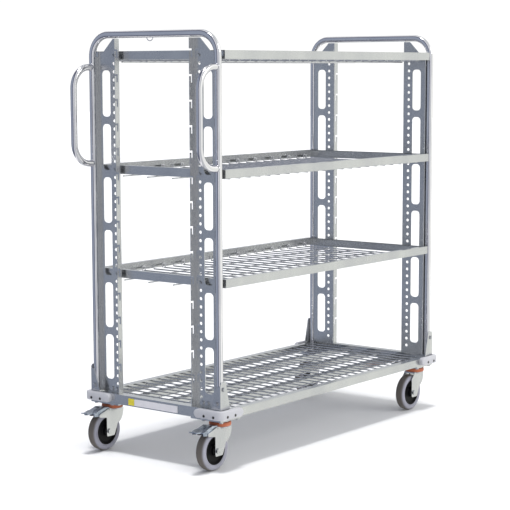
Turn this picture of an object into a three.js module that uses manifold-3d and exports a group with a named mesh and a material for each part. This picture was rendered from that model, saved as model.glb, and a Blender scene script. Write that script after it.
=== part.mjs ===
// A wire-shelf plant trolley: two tube hoops, four perforated uprights, three hung wire shelves, a wire
// deck in a rail frame with corner bumpers, two side handles and four swivel castors, two of them braked.
// Millimetres, +Z up, floor at z = 0. +X runs along the length, away from the handles; -Y is the front.
import * as THREE from "three";
import { mergeVertices } from "three/addons/utils/BufferGeometryUtils.js";
import Module from "manifold-3d";

// ---- Driving dimensions ----

// Gap left between pieces that touch, and between a moving piece and its guide.
const touchGap = 0.3;
const runningGap = 0.6;

// Castor stack, from the floor up.
const wheelDiameter = 125;
const wheelWidth = 32;
const castorTrail = 40;
const crownOverWheel = 3;
const crownThickness = 5;
const sealHeight = 12.4;
const sealRadius = 34;
const sealWall = 7;
const raceRadius = 30;
const raceHeight = 6.4;
const castorPlateThickness = 5;
const castorPlateInward = 102;
const castorPlateAlong = 116;
const castorPlateChamfer = 14;
const swivelFromRailX = 51;
const swivelFromRailY = 43;
const kingPinRadius = 6;
const kingNutRadius = 11;
const kingNutHeight = 5;
const axleRadius = 5;
const axleHeadRadius = 8.5;
const axleHeadHeight = 5;
const forkWall = 3;
const forkSideGap = 3;
const hubRadius = 43.7;
const hubRimWidth = 29;
const hubBossRadius = 14;
const tyreCrownWidth = 22;
const tyreShoulderDrop = 7.5;
const wheelSides = 16;

// Brake pedal, in the plane of the wheel. Across is measured back from the swivel axis.
const pedalPivotBack = 36.5;
const pedalPivotOverCrown = 2.5;
const pedalPinRadius = 2.5;
const pedalWall = 2;
const pedalPlate = 3;
const pedalReach = 130;
const pedalHoodEnd = 106;
const pedalWingStart = 88;
const brakeArmReach = 83;
const brakeArmDepth = 8;
const brakeShoeLength = 12;
const brakeShoeWidth = 24;

// Frame: half spacing of the hoop legs, and the hoops' tube.
const hoopHalfX = 586;
const hoopHalfY = 250;
const hoopTop = 1315;
const hoopTube = 22;
const hoopBend = 66;
const hoopFoot = 3;

// Base rails, foot brackets and bumpers.
const railWall = 2;
const sideRailHeight = 26;
const endRailHeight = 31;
const sideRailFlange = 25;
const endRailFlange = 29;
const bracketWall = 2.5;
const bracketFootWidth = 45;
const bracketTipWidth = 27;
const bracketShoulder = 37;
const bracketRise = 115;
const bumperWall = 13.6;
const bumperHeight = 27;
const bumperLift = 3;
const bumperArm = 107;
const bumperCorner = 16;

// Deck: cross wires over two runners, carried by three bearers.
const wireDiameter = 4.5;
const deckPitch = 39.2;
const deckRunnerY = 187.5;
const bearerSpacing = 125;
const bearerWidth = 30;
const bearerWall = 2;

// Uprights: folded channels with pin holes, long slots and hook notches.
const uprightWall = 2;
const uprightWidth = 90.7;
const uprightSetback = 10;
const innerFlange = 20;
const outerFlange = 12;
const uprightHeadGap = 1.5;
const uprightShoulder = 62;
const uprightHeadWidth = 26;
const pinHoleDiameter = 10;
const pinHoleSides = 4;
const pinHoleInset = 23;
const pinHolePitch = 25;
const pinHoleFirst = 58.4;
const pinHoleTopMargin = 60;
const slotWidth = 34;
const slotLength = 142;
const slotInset = 55;
const slotPitch = 165;
const slotFirst = 12.5;
const notchPitch = 75;
const notchFirst = 65;
const notchOpening = 6;
const notchDepth = 13;
const notchDrop = 22;

// Shelves: hung on pins, each named with the hole that it hangs in, counted down from the top hole.
const shelves = [
  { name: "top", holesBelowTop: 0 },
  { name: "upper", holesBelowTop: 14 },
  { name: "lower", holesBelowTop: 27 },
];
const shelfEndGap = 9;
const shelfOverhang = 9.5;
const rimHeight = 26;
const rimWidth = 16;
const rimWall = 1.5;
const rimOverPin = 14.4;
const shelfPinDiameter = 6;
const shelfPinStandOut = 4;
const shelfTabWidth = 18;
const shelfPitch = 49.4;
const shelfRunnerY = 150;

// Side handles, label and hook, all at the -X end.
const handleTube = 20;
const handleReach = 75;
const handleBelowHoop = 109.5;
const handleHeight = 296.5;
const handleBend = 65;
const labelHeight = 21;
const labelWall = 0.8;
const labelFrom = -98;
const labelTo = 103;
const labelLift = 3.5;
const hookWire = 3;
const hookDrop = 9;
const hookWidth = 25;

// ---- Sizes that follow ----

const wheelRadius = wheelDiameter / 2;
const crownBottom = wheelDiameter + crownOverWheel;
const crownTop = crownBottom + crownThickness;
const sealBottom = crownTop + touchGap;
const sealTop = sealBottom + sealHeight;
const raceBottom = sealTop + touchGap + 0.3;
const plateBottom = raceBottom + raceHeight;
const plateTop = plateBottom + castorPlateThickness;
const railBottom = plateTop + touchGap;
const sideRailTop = railBottom + sideRailHeight;
const endRailTop = railBottom + endRailHeight;

const tubeRadius = hoopTube / 2;
const bracketFromLeg = tubeRadius + touchGap;
const railFromLeg = bracketFromLeg + bracketWall + touchGap;
const bumperFromLeg = railFromLeg + railWall + touchGap;
const railInnerX = hoopHalfX + railFromLeg;
const railInnerY = hoopHalfY + railFromLeg;
const swivelX = railInnerX - swivelFromRailX;
const swivelY = railInnerY - swivelFromRailY;
const bumperOuterX = hoopHalfX + bumperFromLeg + bumperWall;
const handleAxisX = hoopHalfX + tubeRadius + handleReach;
const handleTop = hoopTop - handleBelowHoop;
const handleBottom = handleTop - handleHeight;
const hoopAxisTop = hoopTop - tubeRadius;
const barUnderside = hoopTop - hoopTube;
const bendStart = hoopAxisTop - hoopBend;

const uprightBottom = endRailTop + touchGap;
const uprightTop = barUnderside - uprightHeadGap;
const uprightOuterY = hoopHalfY - tubeRadius - touchGap;
const uprightInnerY = uprightOuterY - uprightWidth;
const webOuterX = hoopHalfX - uprightSetback;
const webInnerX = webOuterX - uprightWall;
const pinHoleY = uprightInnerY + pinHoleInset;
const firstHoleZ = railBottom + pinHoleFirst;
const holeCount = 1 + Math.floor((hoopTop - pinHoleTopMargin - firstHoleZ) / pinHolePitch);
const topHoleZ = firstHoleZ + (holeCount - 1) * pinHolePitch;

const shelfHalfX = webInnerX - shelfEndGap;
const shelfHalfY = hoopHalfY + shelfOverhang;
const pinDrop = (pinHoleDiameter - shelfPinDiameter) / 2 - touchGap;

// ---- Materials ----

const zinc = new THREE.MeshStandardMaterial({ color: 0xb4b8bd, roughness: 0.38, metalness: 0.9 });
const zincTube = new THREE.MeshStandardMaterial({ color: 0xc6c7cf, roughness: 0.18, metalness: 1 });
const zincWire = new THREE.MeshStandardMaterial({ color: 0xa5a7ab, roughness: 0.35, metalness: 0.9 });
const greyPlastic = new THREE.MeshStandardMaterial({ color: 0xc4c4ca, roughness: 0.55 });
const blackPlastic = new THREE.MeshStandardMaterial({ color: 0x141416, roughness: 0.5 });
const tyreRubber = new THREE.MeshStandardMaterial({ color: 0x8d8a8a, roughness: 0.75 });
const orangeSeal = new THREE.MeshStandardMaterial({ color: 0xc96a43, roughness: 0.5 });
const labelFilm = new THREE.MeshStandardMaterial({ color: 0xe8e4e6, roughness: 0.5 });

// ---- Solids ----

const wasm = await Module();
wasm.setup();

// Turns a closed geometry into a solid whose faces point outwards.
function solidOf(geometry) {
  const bare = geometry.clone();
  bare.deleteAttribute("normal");
  bare.deleteAttribute("uv");
  const merged = mergeVertices(bare, 1e-4);
  const corners = merged.index.array;
  const kept = [];
  for (let i = 0; i < corners.length; i += 3) {
    const [a, b, c] = [corners[i], corners[i + 1], corners[i + 2]];
    if (a !== b && b !== c && c !== a) kept.push(a, b, c);
  }
  const made = manifoldOf(merged.attributes.position.array, kept);
  return made.volume() > 0 ? made : manifoldOf(merged.attributes.position.array, kept.reverse());
}

function manifoldOf(positions, corners) {
  const vertProperties = new Float32Array(positions);
  const triVerts = new Uint32Array(corners);
  return new wasm.Manifold(new wasm.Mesh({ numProp: 3, vertProperties, triVerts }));
}

// Joins solids into one.
function join(...solids) {
  return solids.reduce((whole, next) => whole.add(next));
}

// Cuts every tool from a solid.
function cut(solid, ...tools) {
  return tools.reduce((left, tool) => left.subtract(tool), solid);
}

function box(x0, x1, y0, y1, z0, z1) {
  const geometry = new THREE.BoxGeometry(x1 - x0, y1 - y0, z1 - z0);
  geometry.translate((x0 + x1) / 2, (y0 + y1) / 2, (z0 + z1) / 2);
  return solidOf(geometry);
}

function outline(points) {
  return new THREE.Shape(points.map(([x, y]) => new THREE.Vector2(x, y)));
}

function extrude(shape, depth) {
  return new THREE.ExtrudeGeometry(shape, { depth, bevelEnabled: false, curveSegments: 2 });
}

// A plate drawn in (Y, Z), standing from x0 towards +X.
function plateX(shape, x0, thickness) {
  const axes = [new THREE.Vector3(0, 1, 0), new THREE.Vector3(0, 0, 1), new THREE.Vector3(1, 0, 0)];
  const placed = new THREE.Matrix4().makeBasis(...axes).setPosition(x0, 0, 0);
  return solidOf(extrude(shape, thickness).applyMatrix4(placed));
}

// A plate drawn in (X, Z), standing from y0 towards +Y.
function plateY(shape, y0, thickness) {
  const axes = [new THREE.Vector3(1, 0, 0), new THREE.Vector3(0, 0, 1), new THREE.Vector3(0, -1, 0)];
  const placed = new THREE.Matrix4().makeBasis(...axes).setPosition(0, y0 + thickness, 0);
  return solidOf(extrude(shape, thickness).applyMatrix4(placed));
}

// A plate drawn in (X, Y), standing from z0 upwards.
function plateZ(shape, z0, thickness) {
  return solidOf(extrude(shape, thickness).translate(0, 0, z0));
}

// A turned solid about the Y axis. The profile is a list of (radius, y), and closes on itself.
// The sides are flat, with a flat one facing down, and touch the stated radius from outside.
function turnedY(profile, sides) {
  const points = [...profile, profile[0]];
  const widen = 1 / Math.cos(Math.PI / sides);
  const section = points.map(([radius, y]) => new THREE.Vector2(radius * widen, y));
  return solidOf(new THREE.LatheGeometry(section, sides, Math.PI / sides));
}

// A round bar along Z, with its corners on the stated radius.
function barZ(radius, z0, z1, sides) {
  const geometry = new THREE.CylinderGeometry(radius, radius, z1 - z0, sides);
  geometry.rotateX(Math.PI / 2).translate(0, 0, (z0 + z1) / 2);
  return solidOf(geometry);
}

// A round bar along Y through (x, z), with its corners on the stated radius.
function barY(radius, x, z, y0, y1, sides) {
  const geometry = new THREE.CylinderGeometry(radius, radius, y1 - y0, sides);
  return solidOf(geometry.translate(x, (y0 + y1) / 2, z));
}

// A round bar along X through (y, z), with flats above and below.
function barX(radius, y, z, x0, x1, sides) {
  const geometry = new THREE.CylinderGeometry(radius, radius, x1 - x0, sides);
  geometry.rotateY(Math.PI / sides).rotateZ(-Math.PI / 2);
  return solidOf(geometry.translate((x0 + x1) / 2, y, z));
}

// A route through corner points, each corner rounded to one bend radius.
function bentRoute(corners, bend, steps) {
  const route = [corners[0]];
  for (let i = 1; i < corners.length - 1; i++) {
    const back = corners[i - 1].clone().sub(corners[i]).normalize();
    const onward = corners[i + 1].clone().sub(corners[i]).normalize();
    const half = back.angleTo(onward) / 2;
    const middle = back.clone().add(onward).normalize();
    const centre = corners[i].clone().addScaledVector(middle, bend / Math.sin(half));
    const start = corners[i].clone().addScaledVector(back, bend / Math.tan(half)).sub(centre);
    const turnAxis = new THREE.Vector3().crossVectors(onward, back).normalize();
    const sweep = Math.PI - 2 * half;
    for (let k = 0; k <= steps; k++) {
      const spoke = start.clone().applyAxisAngle(turnAxis, (sweep * k) / steps);
      route.push(spoke.add(centre));
    }
  }
  route.push(corners[corners.length - 1]);
  return route;
}

// A curve that steps exactly from one route point to the next.
class RouteCurve extends THREE.Curve {
  constructor(route) {
    super();
    this.route = route;
  }

  getPoint(t, target = new THREE.Vector3()) {
    const place = t * (this.route.length - 1);
    const from = Math.min(Math.floor(place), this.route.length - 2);
    return target.lerpVectors(this.route[from], this.route[from + 1], place - from);
  }

  getUtoTmapping(u) {
    return u;
  }
}

// A round bar along a route. Its sides are flat and touch the stated radius from outside.
function bentBar(route, radius, sides) {
  const cornerRadius = radius / Math.cos(Math.PI / sides);
  const points = [];
  for (let i = 0; i < sides; i++) {
    const angle = (2 * Math.PI * (i + 0.5)) / sides;
    points.push([cornerRadius * Math.cos(angle), cornerRadius * Math.sin(angle)]);
  }
  const section = outline(points);
  const options = { steps: route.length - 1, bevelEnabled: false, extrudePath: new RouteCurve(route) };
  return solidOf(new THREE.ExtrudeGeometry(section, options));
}

// ---- Assembly helpers ----

const trolley = new THREE.Group();

// Adds one named piece to a group.
function place(name, solid, material, parent = trolley) {
  const { vertProperties, triVerts, numProp } = solid.getMesh();
  const geometry = new THREE.BufferGeometry();
  geometry.setAttribute("position", new THREE.BufferAttribute(new Float32Array(vertProperties), numProp));
  geometry.setIndex(new THREE.BufferAttribute(new Uint32Array(triVerts), 1));
  geometry.computeVertexNormals();
  const mesh = new THREE.Mesh(geometry, material);
  mesh.name = name;
  parent.add(mesh);
  return mesh;
}

// The four corners, each with the signs that mirror the front-right corner's pieces onto it.
const corners = [
  { name: "front_left", alongX: -1, alongY: -1 },
  { name: "front_right", alongX: 1, alongY: -1 },
  { name: "back_left", alongX: -1, alongY: 1 },
  { name: "back_right", alongX: 1, alongY: 1 },
];

// ---- Hoops and handles ----

// A hoop stands on the two legs of one end and bends over the top.
function hoop() {
  const foot = railBottom + hoopFoot;
  const line = [
    new THREE.Vector3(0, -hoopHalfY, foot),
    new THREE.Vector3(0, -hoopHalfY, hoopAxisTop),
    new THREE.Vector3(0, hoopHalfY, hoopAxisTop),
    new THREE.Vector3(0, hoopHalfY, foot),
  ];
  return bentBar(bentRoute(line, hoopBend, 5), tubeRadius, 8);
}

// A D-shaped handle in the plane of a side, welded to a hoop leg.
function handle() {
  const atLeg = -(hoopHalfX + tubeRadius + touchGap);
  const line = [
    new THREE.Vector3(atLeg, 0, handleTop),
    new THREE.Vector3(-handleAxisX, 0, handleTop),
    new THREE.Vector3(-handleAxisX, 0, handleBottom),
    new THREE.Vector3(atLeg, 0, handleBottom),
  ];
  return bentBar(bentRoute(line, handleBend, 5), handleTube / 2, 8);
}

// ---- Base ----

// A channel rail along X that opens towards -Y. Its flanges stop short of the foot brackets.
function sideRail() {
  const outer = railInnerY + railWall;
  const webEnd = railInnerX;
  const flangeEnd = hoopHalfX + bracketFromLeg - bracketFootWidth - 2;
  const web = box(-webEnd, webEnd, railInnerY, outer, railBottom, sideRailTop);
  const flangeY = outer - sideRailFlange;
  const lower = box(-flangeEnd, flangeEnd, flangeY, outer, railBottom, railBottom + railWall);
  const upper = box(-flangeEnd, flangeEnd, flangeY, outer, sideRailTop - railWall, sideRailTop);
  return join(web, lower, upper);
}

// A channel rail along Y that opens towards the middle of the trolley.
function endRail() {
  const outer = railInnerX + railWall;
  const webEnd = railInnerY - touchGap;
  const flangeEnd = hoopHalfY + bracketFromLeg - bracketFootWidth + 8;
  const web = box(railInnerX, outer, -webEnd, webEnd, railBottom, endRailTop);
  const flangeX = outer - endRailFlange;
  const lower = box(flangeX, outer, -flangeEnd, flangeEnd, railBottom, railBottom + railWall);
  const upper = box(flangeX, outer, -flangeEnd, flangeEnd, endRailTop - railWall, endRailTop);
  return join(web, lower, upper);
}

// An angle of two tapered plates that clasps the foot of a hoop leg.
function footBracket() {
  const foot = railBottom + railWall + touchGap;
  const top = railBottom + bracketRise;
  const shoulder = railBottom + bracketShoulder;
  const outerX = hoopHalfX + bracketFromLeg + bracketWall;
  const outerY = hoopHalfY + bracketFromLeg + bracketWall;
  const sideShape = outline([
    [outerX, foot],
    [outerX, top - 8],
    [outerX - 4, top],
    [outerX - bracketTipWidth, top],
    [outerX - bracketFootWidth, shoulder],
    [outerX - bracketFootWidth, foot],
  ]);
  const endShape = outline([
    [outerY, foot],
    [outerY, top - 12],
    [outerY - bracketTipWidth / 2, top - 12],
    [outerY - bracketFootWidth + 10, shoulder],
    [outerY - bracketFootWidth + 10, foot],
  ]);
  return join(
    plateY(sideShape, outerY - bracketWall, bracketWall),
    plateX(endShape, outerX - bracketWall, bracketWall),
  );
}

// An L-shaped bumper round a corner, with a round corner and fully round ends.
function bumper() {
  const innerX = hoopHalfX + bumperFromLeg;
  const innerY = hoopHalfY + bumperFromLeg;
  const outerX = innerX + bumperWall;
  const outerY = innerY + bumperWall;
  const endX = outerX - bumperArm;
  const endY = outerY - bumperArm;
  const plan = new THREE.Shape();
  plan.moveTo(endX, innerY);
  plan.lineTo(innerX, innerY);
  plan.lineTo(innerX, endY);
  plan.lineTo(outerX, endY);
  plan.absarc(outerX - bumperCorner, outerY - bumperCorner, bumperCorner, 0, Math.PI / 2);
  plan.lineTo(endX, outerY);
  const bottom = railBottom + bumperLift;
  const roundEnd = (end, far) => {
    const radius = bumperHeight / 2;
    const shape = new THREE.Shape();
    shape.moveTo(far, bottom);
    shape.lineTo(far, bottom + bumperHeight);
    shape.absarc(end + radius, bottom + radius, radius, Math.PI / 2, (3 * Math.PI) / 2);
    return shape;
  };
  const body = plateZ(plan, bottom, bumperHeight);
  const alongX = plateY(roundEnd(endX, outerX + 1), endY - 1, bumperArm + 2);
  const alongY = plateX(roundEnd(endY, outerY + 1), endX - 1, bumperArm + 2);
  return body.intersect(alongX).intersect(alongY);
}

// How many wires fit either side of the middle of a grid.
function wiresPerHalf(halfLength, pitch) {
  return Math.floor(halfLength / pitch + 0.5);
}

// A welded grid: cross wires along Y whose tops lie at topZ, on two runners along X.
function grid(halfX, halfY, pitch, runnerY, topZ) {
  const radius = wireDiameter / 2;
  const crossBottom = topZ - wireDiameter;
  const perHalf = wiresPerHalf(halfX - wireDiameter, pitch);
  const runnerEnd = (perHalf - 0.5) * pitch + radius;
  let made = join(
    ...[-runnerY, runnerY].map((y) =>
      box(-runnerEnd, runnerEnd, y - radius, y + radius, crossBottom - wireDiameter, crossBottom),
    ),
  );
  for (let i = -perHalf; i < perHalf; i++) {
    const x = (i + 0.5) * pitch;
    made = join(made, box(x - radius, x + radius, -halfY, halfY, crossBottom, topZ));
  }
  return made;
}

// A bearer under the deck: a channel along X, open below.
function bearer(centreY, topZ) {
  const halfWidth = bearerWidth / 2;
  const bottom = railBottom + railWall + touchGap;
  const shape = outline([
    [centreY - halfWidth, bottom],
    [centreY - halfWidth, topZ],
    [centreY + halfWidth, topZ],
    [centreY + halfWidth, bottom],
    [centreY + halfWidth - bearerWall, bottom],
    [centreY + halfWidth - bearerWall, topZ - bearerWall],
    [centreY - halfWidth + bearerWall, topZ - bearerWall],
    [centreY - halfWidth + bearerWall, bottom],
  ]);
  const end = railInnerX - touchGap;
  return plateX(shape, -end, 2 * end);
}

// ---- Uprights ----

// A round-ended slot along Z.
function slotPath(centreY, bottomZ) {
  const radius = slotWidth / 2;
  const path = new THREE.Path();
  path.absarc(centreY, bottomZ + slotLength - radius, radius, 0, Math.PI);
  path.absarc(centreY, bottomZ + radius, radius, Math.PI, 2 * Math.PI);
  return path;
}

// A pin hole with a few flat sides, one above and one below.
function pinHolePath(centreY, centreZ) {
  const radius = pinHoleDiameter / 2 / Math.cos(Math.PI / pinHoleSides);
  const points = [];
  for (let i = 0; i < pinHoleSides; i++) {
    const angle = Math.PI / 2 + (2 * Math.PI * (i + 0.5)) / pinHoleSides;
    points.push(new THREE.Vector2(centreY + radius * Math.cos(angle), centreZ + radius * Math.sin(angle)));
  }
  return new THREE.Path(points);
}

// The flat web of an upright, with its pin holes and slots. Its shoulder reaches to the hoop's bend.
function uprightWeb() {
  const shoulderZ = hoopTop - uprightShoulder;
  const bendInside = hoopBend - tubeRadius - 2 * touchGap;
  const shoulderReach = Math.sqrt(bendInside ** 2 - (shoulderZ - bendStart) ** 2);
  const shape = outline([
    [uprightInnerY, uprightBottom],
    [uprightOuterY, uprightBottom],
    [uprightOuterY, bendStart - touchGap],
    [hoopHalfY - hoopBend + shoulderReach, shoulderZ],
    [uprightOuterY - 25, shoulderZ],
    [uprightInnerY + uprightHeadWidth, uprightTop],
    [uprightInnerY, uprightTop],
  ]);
  for (let i = 0; i < holeCount; i++) {
    shape.holes.push(pinHolePath(pinHoleY, firstHoleZ + i * pinHolePitch));
  }
  const slotTopLimit = shoulderZ - 5;
  for (let z = firstHoleZ + slotFirst; z + slotLength < slotTopLimit; z += slotPitch) {
    shape.holes.push(slotPath(uprightInnerY + slotInset, z));
  }
  return plateX(shape, webInnerX, uprightWall);
}

// The inner flange, whose free edge is notched with hooks: each notch runs in, then drops.
function hookFlange() {
  const edge = webOuterX + innerFlange;
  const seat = edge - notchDepth;
  const points = [
    [webInnerX, uprightTop],
    [webInnerX, uprightBottom],
    [edge, uprightBottom],
  ];
  const half = notchOpening / 2;
  for (let z = firstHoleZ + notchFirst; z + half < uprightTop - notchDrop / 2; z += notchPitch) {
    points.push(
      [edge, z - half],
      [seat + notchOpening, z - half],
      [seat + notchOpening, z - notchDrop],
      [seat, z - notchDrop],
      [seat, z + half],
      [edge, z + half],
    );
  }
  points.push([edge, uprightTop]);
  return plateY(outline(points), uprightInnerY, uprightWall);
}

function upright() {
  const tubeSide = box(
    webInnerX,
    webOuterX + outerFlange,
    uprightOuterY - uprightWall,
    uprightOuterY,
    uprightBottom,
    bendStart - touchGap,
  );
  return join(uprightWeb(), hookFlange(), tubeSide);
}

// ---- Shelves ----

// The rim: a channel frame, open below, with a tab and a hanging pin at each end of its short sides.
function shelfRim(pinZ) {
  const top = pinZ + rimOverPin;
  const bottom = top - rimHeight;
  const frame = (inset, z0, z1) =>
    box(-shelfHalfX + inset, shelfHalfX - inset, -shelfHalfY + inset, shelfHalfY - inset, z0, z1);
  const groove = cut(
    frame(rimWall, bottom - 1, top - rimWall),
    frame(rimWidth - rimWall, bottom - 2, top),
  );
  let rim = cut(frame(0, bottom, top), frame(rimWidth, bottom - 1, top + 1), groove);
  const tabTop = pinZ + shelfTabWidth / 2;
  const tabBottom = pinZ - shelfTabWidth / 2;
  for (const { alongX, alongY } of corners) {
    const y = alongY * pinHoleY;
    const half = shelfTabWidth / 2;
    const inner = shelfHalfX - 1;
    const tabEnd = webInnerX - runningGap;
    const pinEnd = webOuterX + shelfPinStandOut;
    const span = (from, to) => (alongX > 0 ? [from, to] : [-to, -from]);
    const tab = box(...span(inner, tabEnd), y - half, y + half, tabBottom, tabTop);
    const pin = barX(shelfPinDiameter / 2 / Math.cos(Math.PI / 6), y, pinZ, ...span(inner, pinEnd), 6);
    rim = join(rim, tab, pin);
  }
  return rim;
}

function shelfGrid(pinZ) {
  const rimBottom = pinZ + rimOverPin - rimHeight;
  const halfY = shelfHalfY - rimWall - 2;
  return grid(shelfHalfX - rimWidth, halfY, shelfPitch, shelfRunnerY, rimBottom - touchGap);
}

// ---- Castors ----

const forkInner = wheelWidth / 2 + forkSideGap;
const forkOuter = forkInner + forkWall;
const axleZ = wheelRadius;
const pivotZ = crownTop - pedalPivotOverCrown;
const forkLegOutline = [
  [-castorTrail - 9.5, axleZ - 12.5],
  [-castorTrail - 5.5, axleZ - 16.5],
  [-castorTrail + 25, axleZ - 16.5],
  [-castorTrail + 35, axleZ + 6.5],
  [5, crownTop - 41],
  [9, crownTop - 16],
  [20, crownBottom],
  [20, crownTop],
];
const plainForkHead = [
  [-28, crownTop],
  [-castorTrail - 9.5, crownTop - 22],
];
const brakedForkHead = [
  [-28, crownTop],
  [-brakeArmReach, crownTop - 12],
  [-brakeArmReach, crownTop - 12 - brakeArmDepth],
  [-castorTrail - 9.5, crownTop - 26],
];

// The castor's top plate, with its bearing race and its king pin. Its two outer edges lie under the rails.
function castorPlate() {
  const right = swivelFromRailX;
  const outer = swivelFromRailY;
  const left = right - castorPlateInward;
  const inner = outer - castorPlateAlong;
  const shape = outline([
    [right, outer],
    [left, outer],
    [left, inner + castorPlateChamfer],
    [left + castorPlateChamfer, inner],
    [right, inner],
  ]);
  const nutTop = crownBottom - touchGap;
  return join(
    plateZ(shape, plateBottom, castorPlateThickness),
    barZ(raceRadius, raceBottom, plateBottom + 1, 12),
    barZ(kingPinRadius, nutTop - 1, raceBottom + 1, 8),
    barZ(kingNutRadius, nutTop - kingNutHeight, nutTop, 6),
  );
}

// The orange bearing seal between the race and the fork crown.
function seal() {
  const ring = barZ(sealRadius, sealBottom, sealTop, 12);
  return cut(ring, barZ(sealRadius - sealWall, sealBottom - 1, sealTop + 1, 12));
}

// A fork: a round crown with a leg down each side of the wheel. A braked fork has arms for the pedal.
function fork(braked) {
  const shape = outline([...forkLegOutline, ...(braked ? brakedForkHead : plainForkHead)]);
  const legs = [-forkOuter, forkInner].map((y0) => plateY(shape, y0, forkWall));
  const crownEnd = braked ? -28 : -castorTrail + 7;
  const crown = box(crownEnd, 20, -forkOuter, forkOuter, crownBottom, crownTop);
  const disc = barZ(sealRadius - 1, crownBottom, crownTop, 12);
  let body = join(crown, disc, ...legs);
  if (braked) {
    const lugs = [-forkOuter, forkInner].map((y) =>
      barY(5.5, -pedalPivotBack, pivotZ, y, y + forkWall, 8),
    );
    const pinHole = barY(pedalPinRadius + 0.7, -pedalPivotBack, pivotZ, -40, 40, 8);
    body = cut(join(body, ...lugs), pinHole);
  }
  const axleHole = barY(axleRadius + runningGap, -castorTrail, axleZ, -40, 40, 8);
  const kingHole = barZ(kingPinRadius + runningGap, crownBottom - 1, crownTop + 1, 8);
  return cut(body, axleHole, kingHole);
}

// The axle bolt with its head and nut, outside the fork's legs.
function axle() {
  const headFrom = forkOuter + touchGap;
  const rod = barY(axleRadius, -castorTrail, axleZ, -headFrom - 1, headFrom + 1, 8);
  const heads = [-headFrom - axleHeadHeight, headFrom].map((y) =>
    barY(axleHeadRadius, -castorTrail, axleZ, y, y + axleHeadHeight, 6),
  );
  return join(rod, ...heads);
}

function wheelSolid(profile) {
  return turnedY(profile, wheelSides).translate(-castorTrail, 0, axleZ);
}

function hub() {
  const boss = forkInner - runningGap;
  const rim = hubRimWidth / 2;
  const bore = axleRadius + runningGap;
  return wheelSolid([
    [bore, -boss],
    [hubBossRadius, -boss],
    [hubRadius, -rim],
    [hubRadius, rim],
    [hubBossRadius, boss],
    [bore, boss],
  ]);
}

function tyre() {
  const inner = hubRadius + touchGap;
  const rim = hubRimWidth / 2;
  const shoulder = wheelRadius - tyreShoulderDrop;
  return wheelSolid([
    [inner, -rim],
    [shoulder, -wheelWidth / 2],
    [wheelRadius, -tyreCrownWidth / 2],
    [wheelRadius, tyreCrownWidth / 2],
    [shoulder, wheelWidth / 2],
    [inner, rim],
  ]);
}

// The brake pedal: a hood between the fork's arms, wings behind them, a tongue for the foot and a shoe
// that comes down on the tyre. It turns on a pin through the arms.
function pedal() {
  const hoodHalf = forkInner - touchGap;
  const wingHalf = forkOuter;
  const ridge = crownTop + 8.5;
  const slope = [
    [-35.5, ridge - 2.5],
    [-58, ridge],
    [-pedalWingStart, crownTop],
    [-pedalHoodEnd, crownTop - 4],
  ];
  const under = slope.map(([x, z]) => [x, z - pedalPlate]).reverse();
  const hood = plateY(outline([...slope, ...under]), -hoodHalf, 2 * hoodHalf);
  const backSlope = slope.slice(2);
  const backUnder = under.slice(0, 2);
  const wings = plateY(outline([...backSlope, ...backUnder]), -wingHalf, 2 * wingHalf);
  const tongueShape = outline([
    [-pedalHoodEnd + 2, crownTop - 3.8],
    [-pedalReach, crownTop - 0.5],
    [-pedalReach, crownTop - 3],
    [-pedalHoodEnd + 2, crownTop - 6.8],
  ]);
  const tongue = plateY(tongueShape, -14, 28);
  const earOutline = outline([
    [-31.5, pivotZ - 4],
    [-31.5, pivotZ + 4],
    [-35.5, ridge - 2.5],
    [-58, ridge],
    [-brakeArmReach, crownTop + 1.4],
    [-brakeArmReach, crownTop - 14],
    [-60, crownTop - 14],
  ]);
  const wingOutline = outline([
    [-pedalWingStart, crownTop],
    [-pedalHoodEnd, crownTop - 4],
    [-pedalHoodEnd, crownTop - 14],
    [-pedalWingStart, crownTop - 17],
  ]);
  const skirts = [
    plateY(earOutline, hoodHalf - pedalWall, pedalWall),
    plateY(earOutline, -hoodHalf, pedalWall),
    plateY(wingOutline, wingHalf - pedalWall, pedalWall),
    plateY(wingOutline, -wingHalf, pedalWall),
  ];
  const shoeBack = -48;
  const shoe = box(
    shoeBack - brakeShoeLength,
    shoeBack,
    -brakeShoeWidth / 2,
    brakeShoeWidth / 2,
    crownTop - 4.4,
    ridge - 2,
  );
  const pinHole = barY(pedalPinRadius + 0.7, -pedalPivotBack, pivotZ, -40, 40, 8);
  return cut(join(hood, wings, tongue, shoe, ...skirts), pinHole);
}

function pedalPin() {
  const end = forkOuter + 1.5;
  return barY(pedalPinRadius, -pedalPivotBack, pivotZ, -end, end, 8);
}

// ---- Build ----

for (const [name, side] of [
  ["hoop_left", -1],
  ["hoop_right", 1],
]) {
  place(name, hoop(), zincTube).position.x = side * hoopHalfX;
}
for (const [name, side] of [
  ["handle_front", -1],
  ["handle_back", 1],
]) {
  place(name, handle(), zincTube).position.y = side * hoopHalfY;
}
for (const [name, side] of [
  ["side_rail_front", -1],
  ["side_rail_back", 1],
]) {
  place(name, sideRail(), zinc).scale.y = side;
}
for (const [name, side] of [
  ["end_rail_left", -1],
  ["end_rail_right", 1],
]) {
  place(name, endRail(), zinc).scale.x = side;
}

const deckTop = sideRailTop - railWall - touchGap;
const deckHalfX = railInnerX + railWall - endRailFlange;
const deckHalfY = hoopHalfY + bracketFromLeg - 3;
place("deck_grid", grid(deckHalfX, deckHalfY, deckPitch, deckRunnerY, deckTop), zincWire);
const bearerTop = deckTop - wireDiameter - touchGap;
for (const [name, step] of [
  ["deck_bearer_front", -1],
  ["deck_bearer_middle", 0],
  ["deck_bearer_back", 1],
]) {
  place(name, bearer(step * bearerSpacing, bearerTop), zinc);
}

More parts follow.
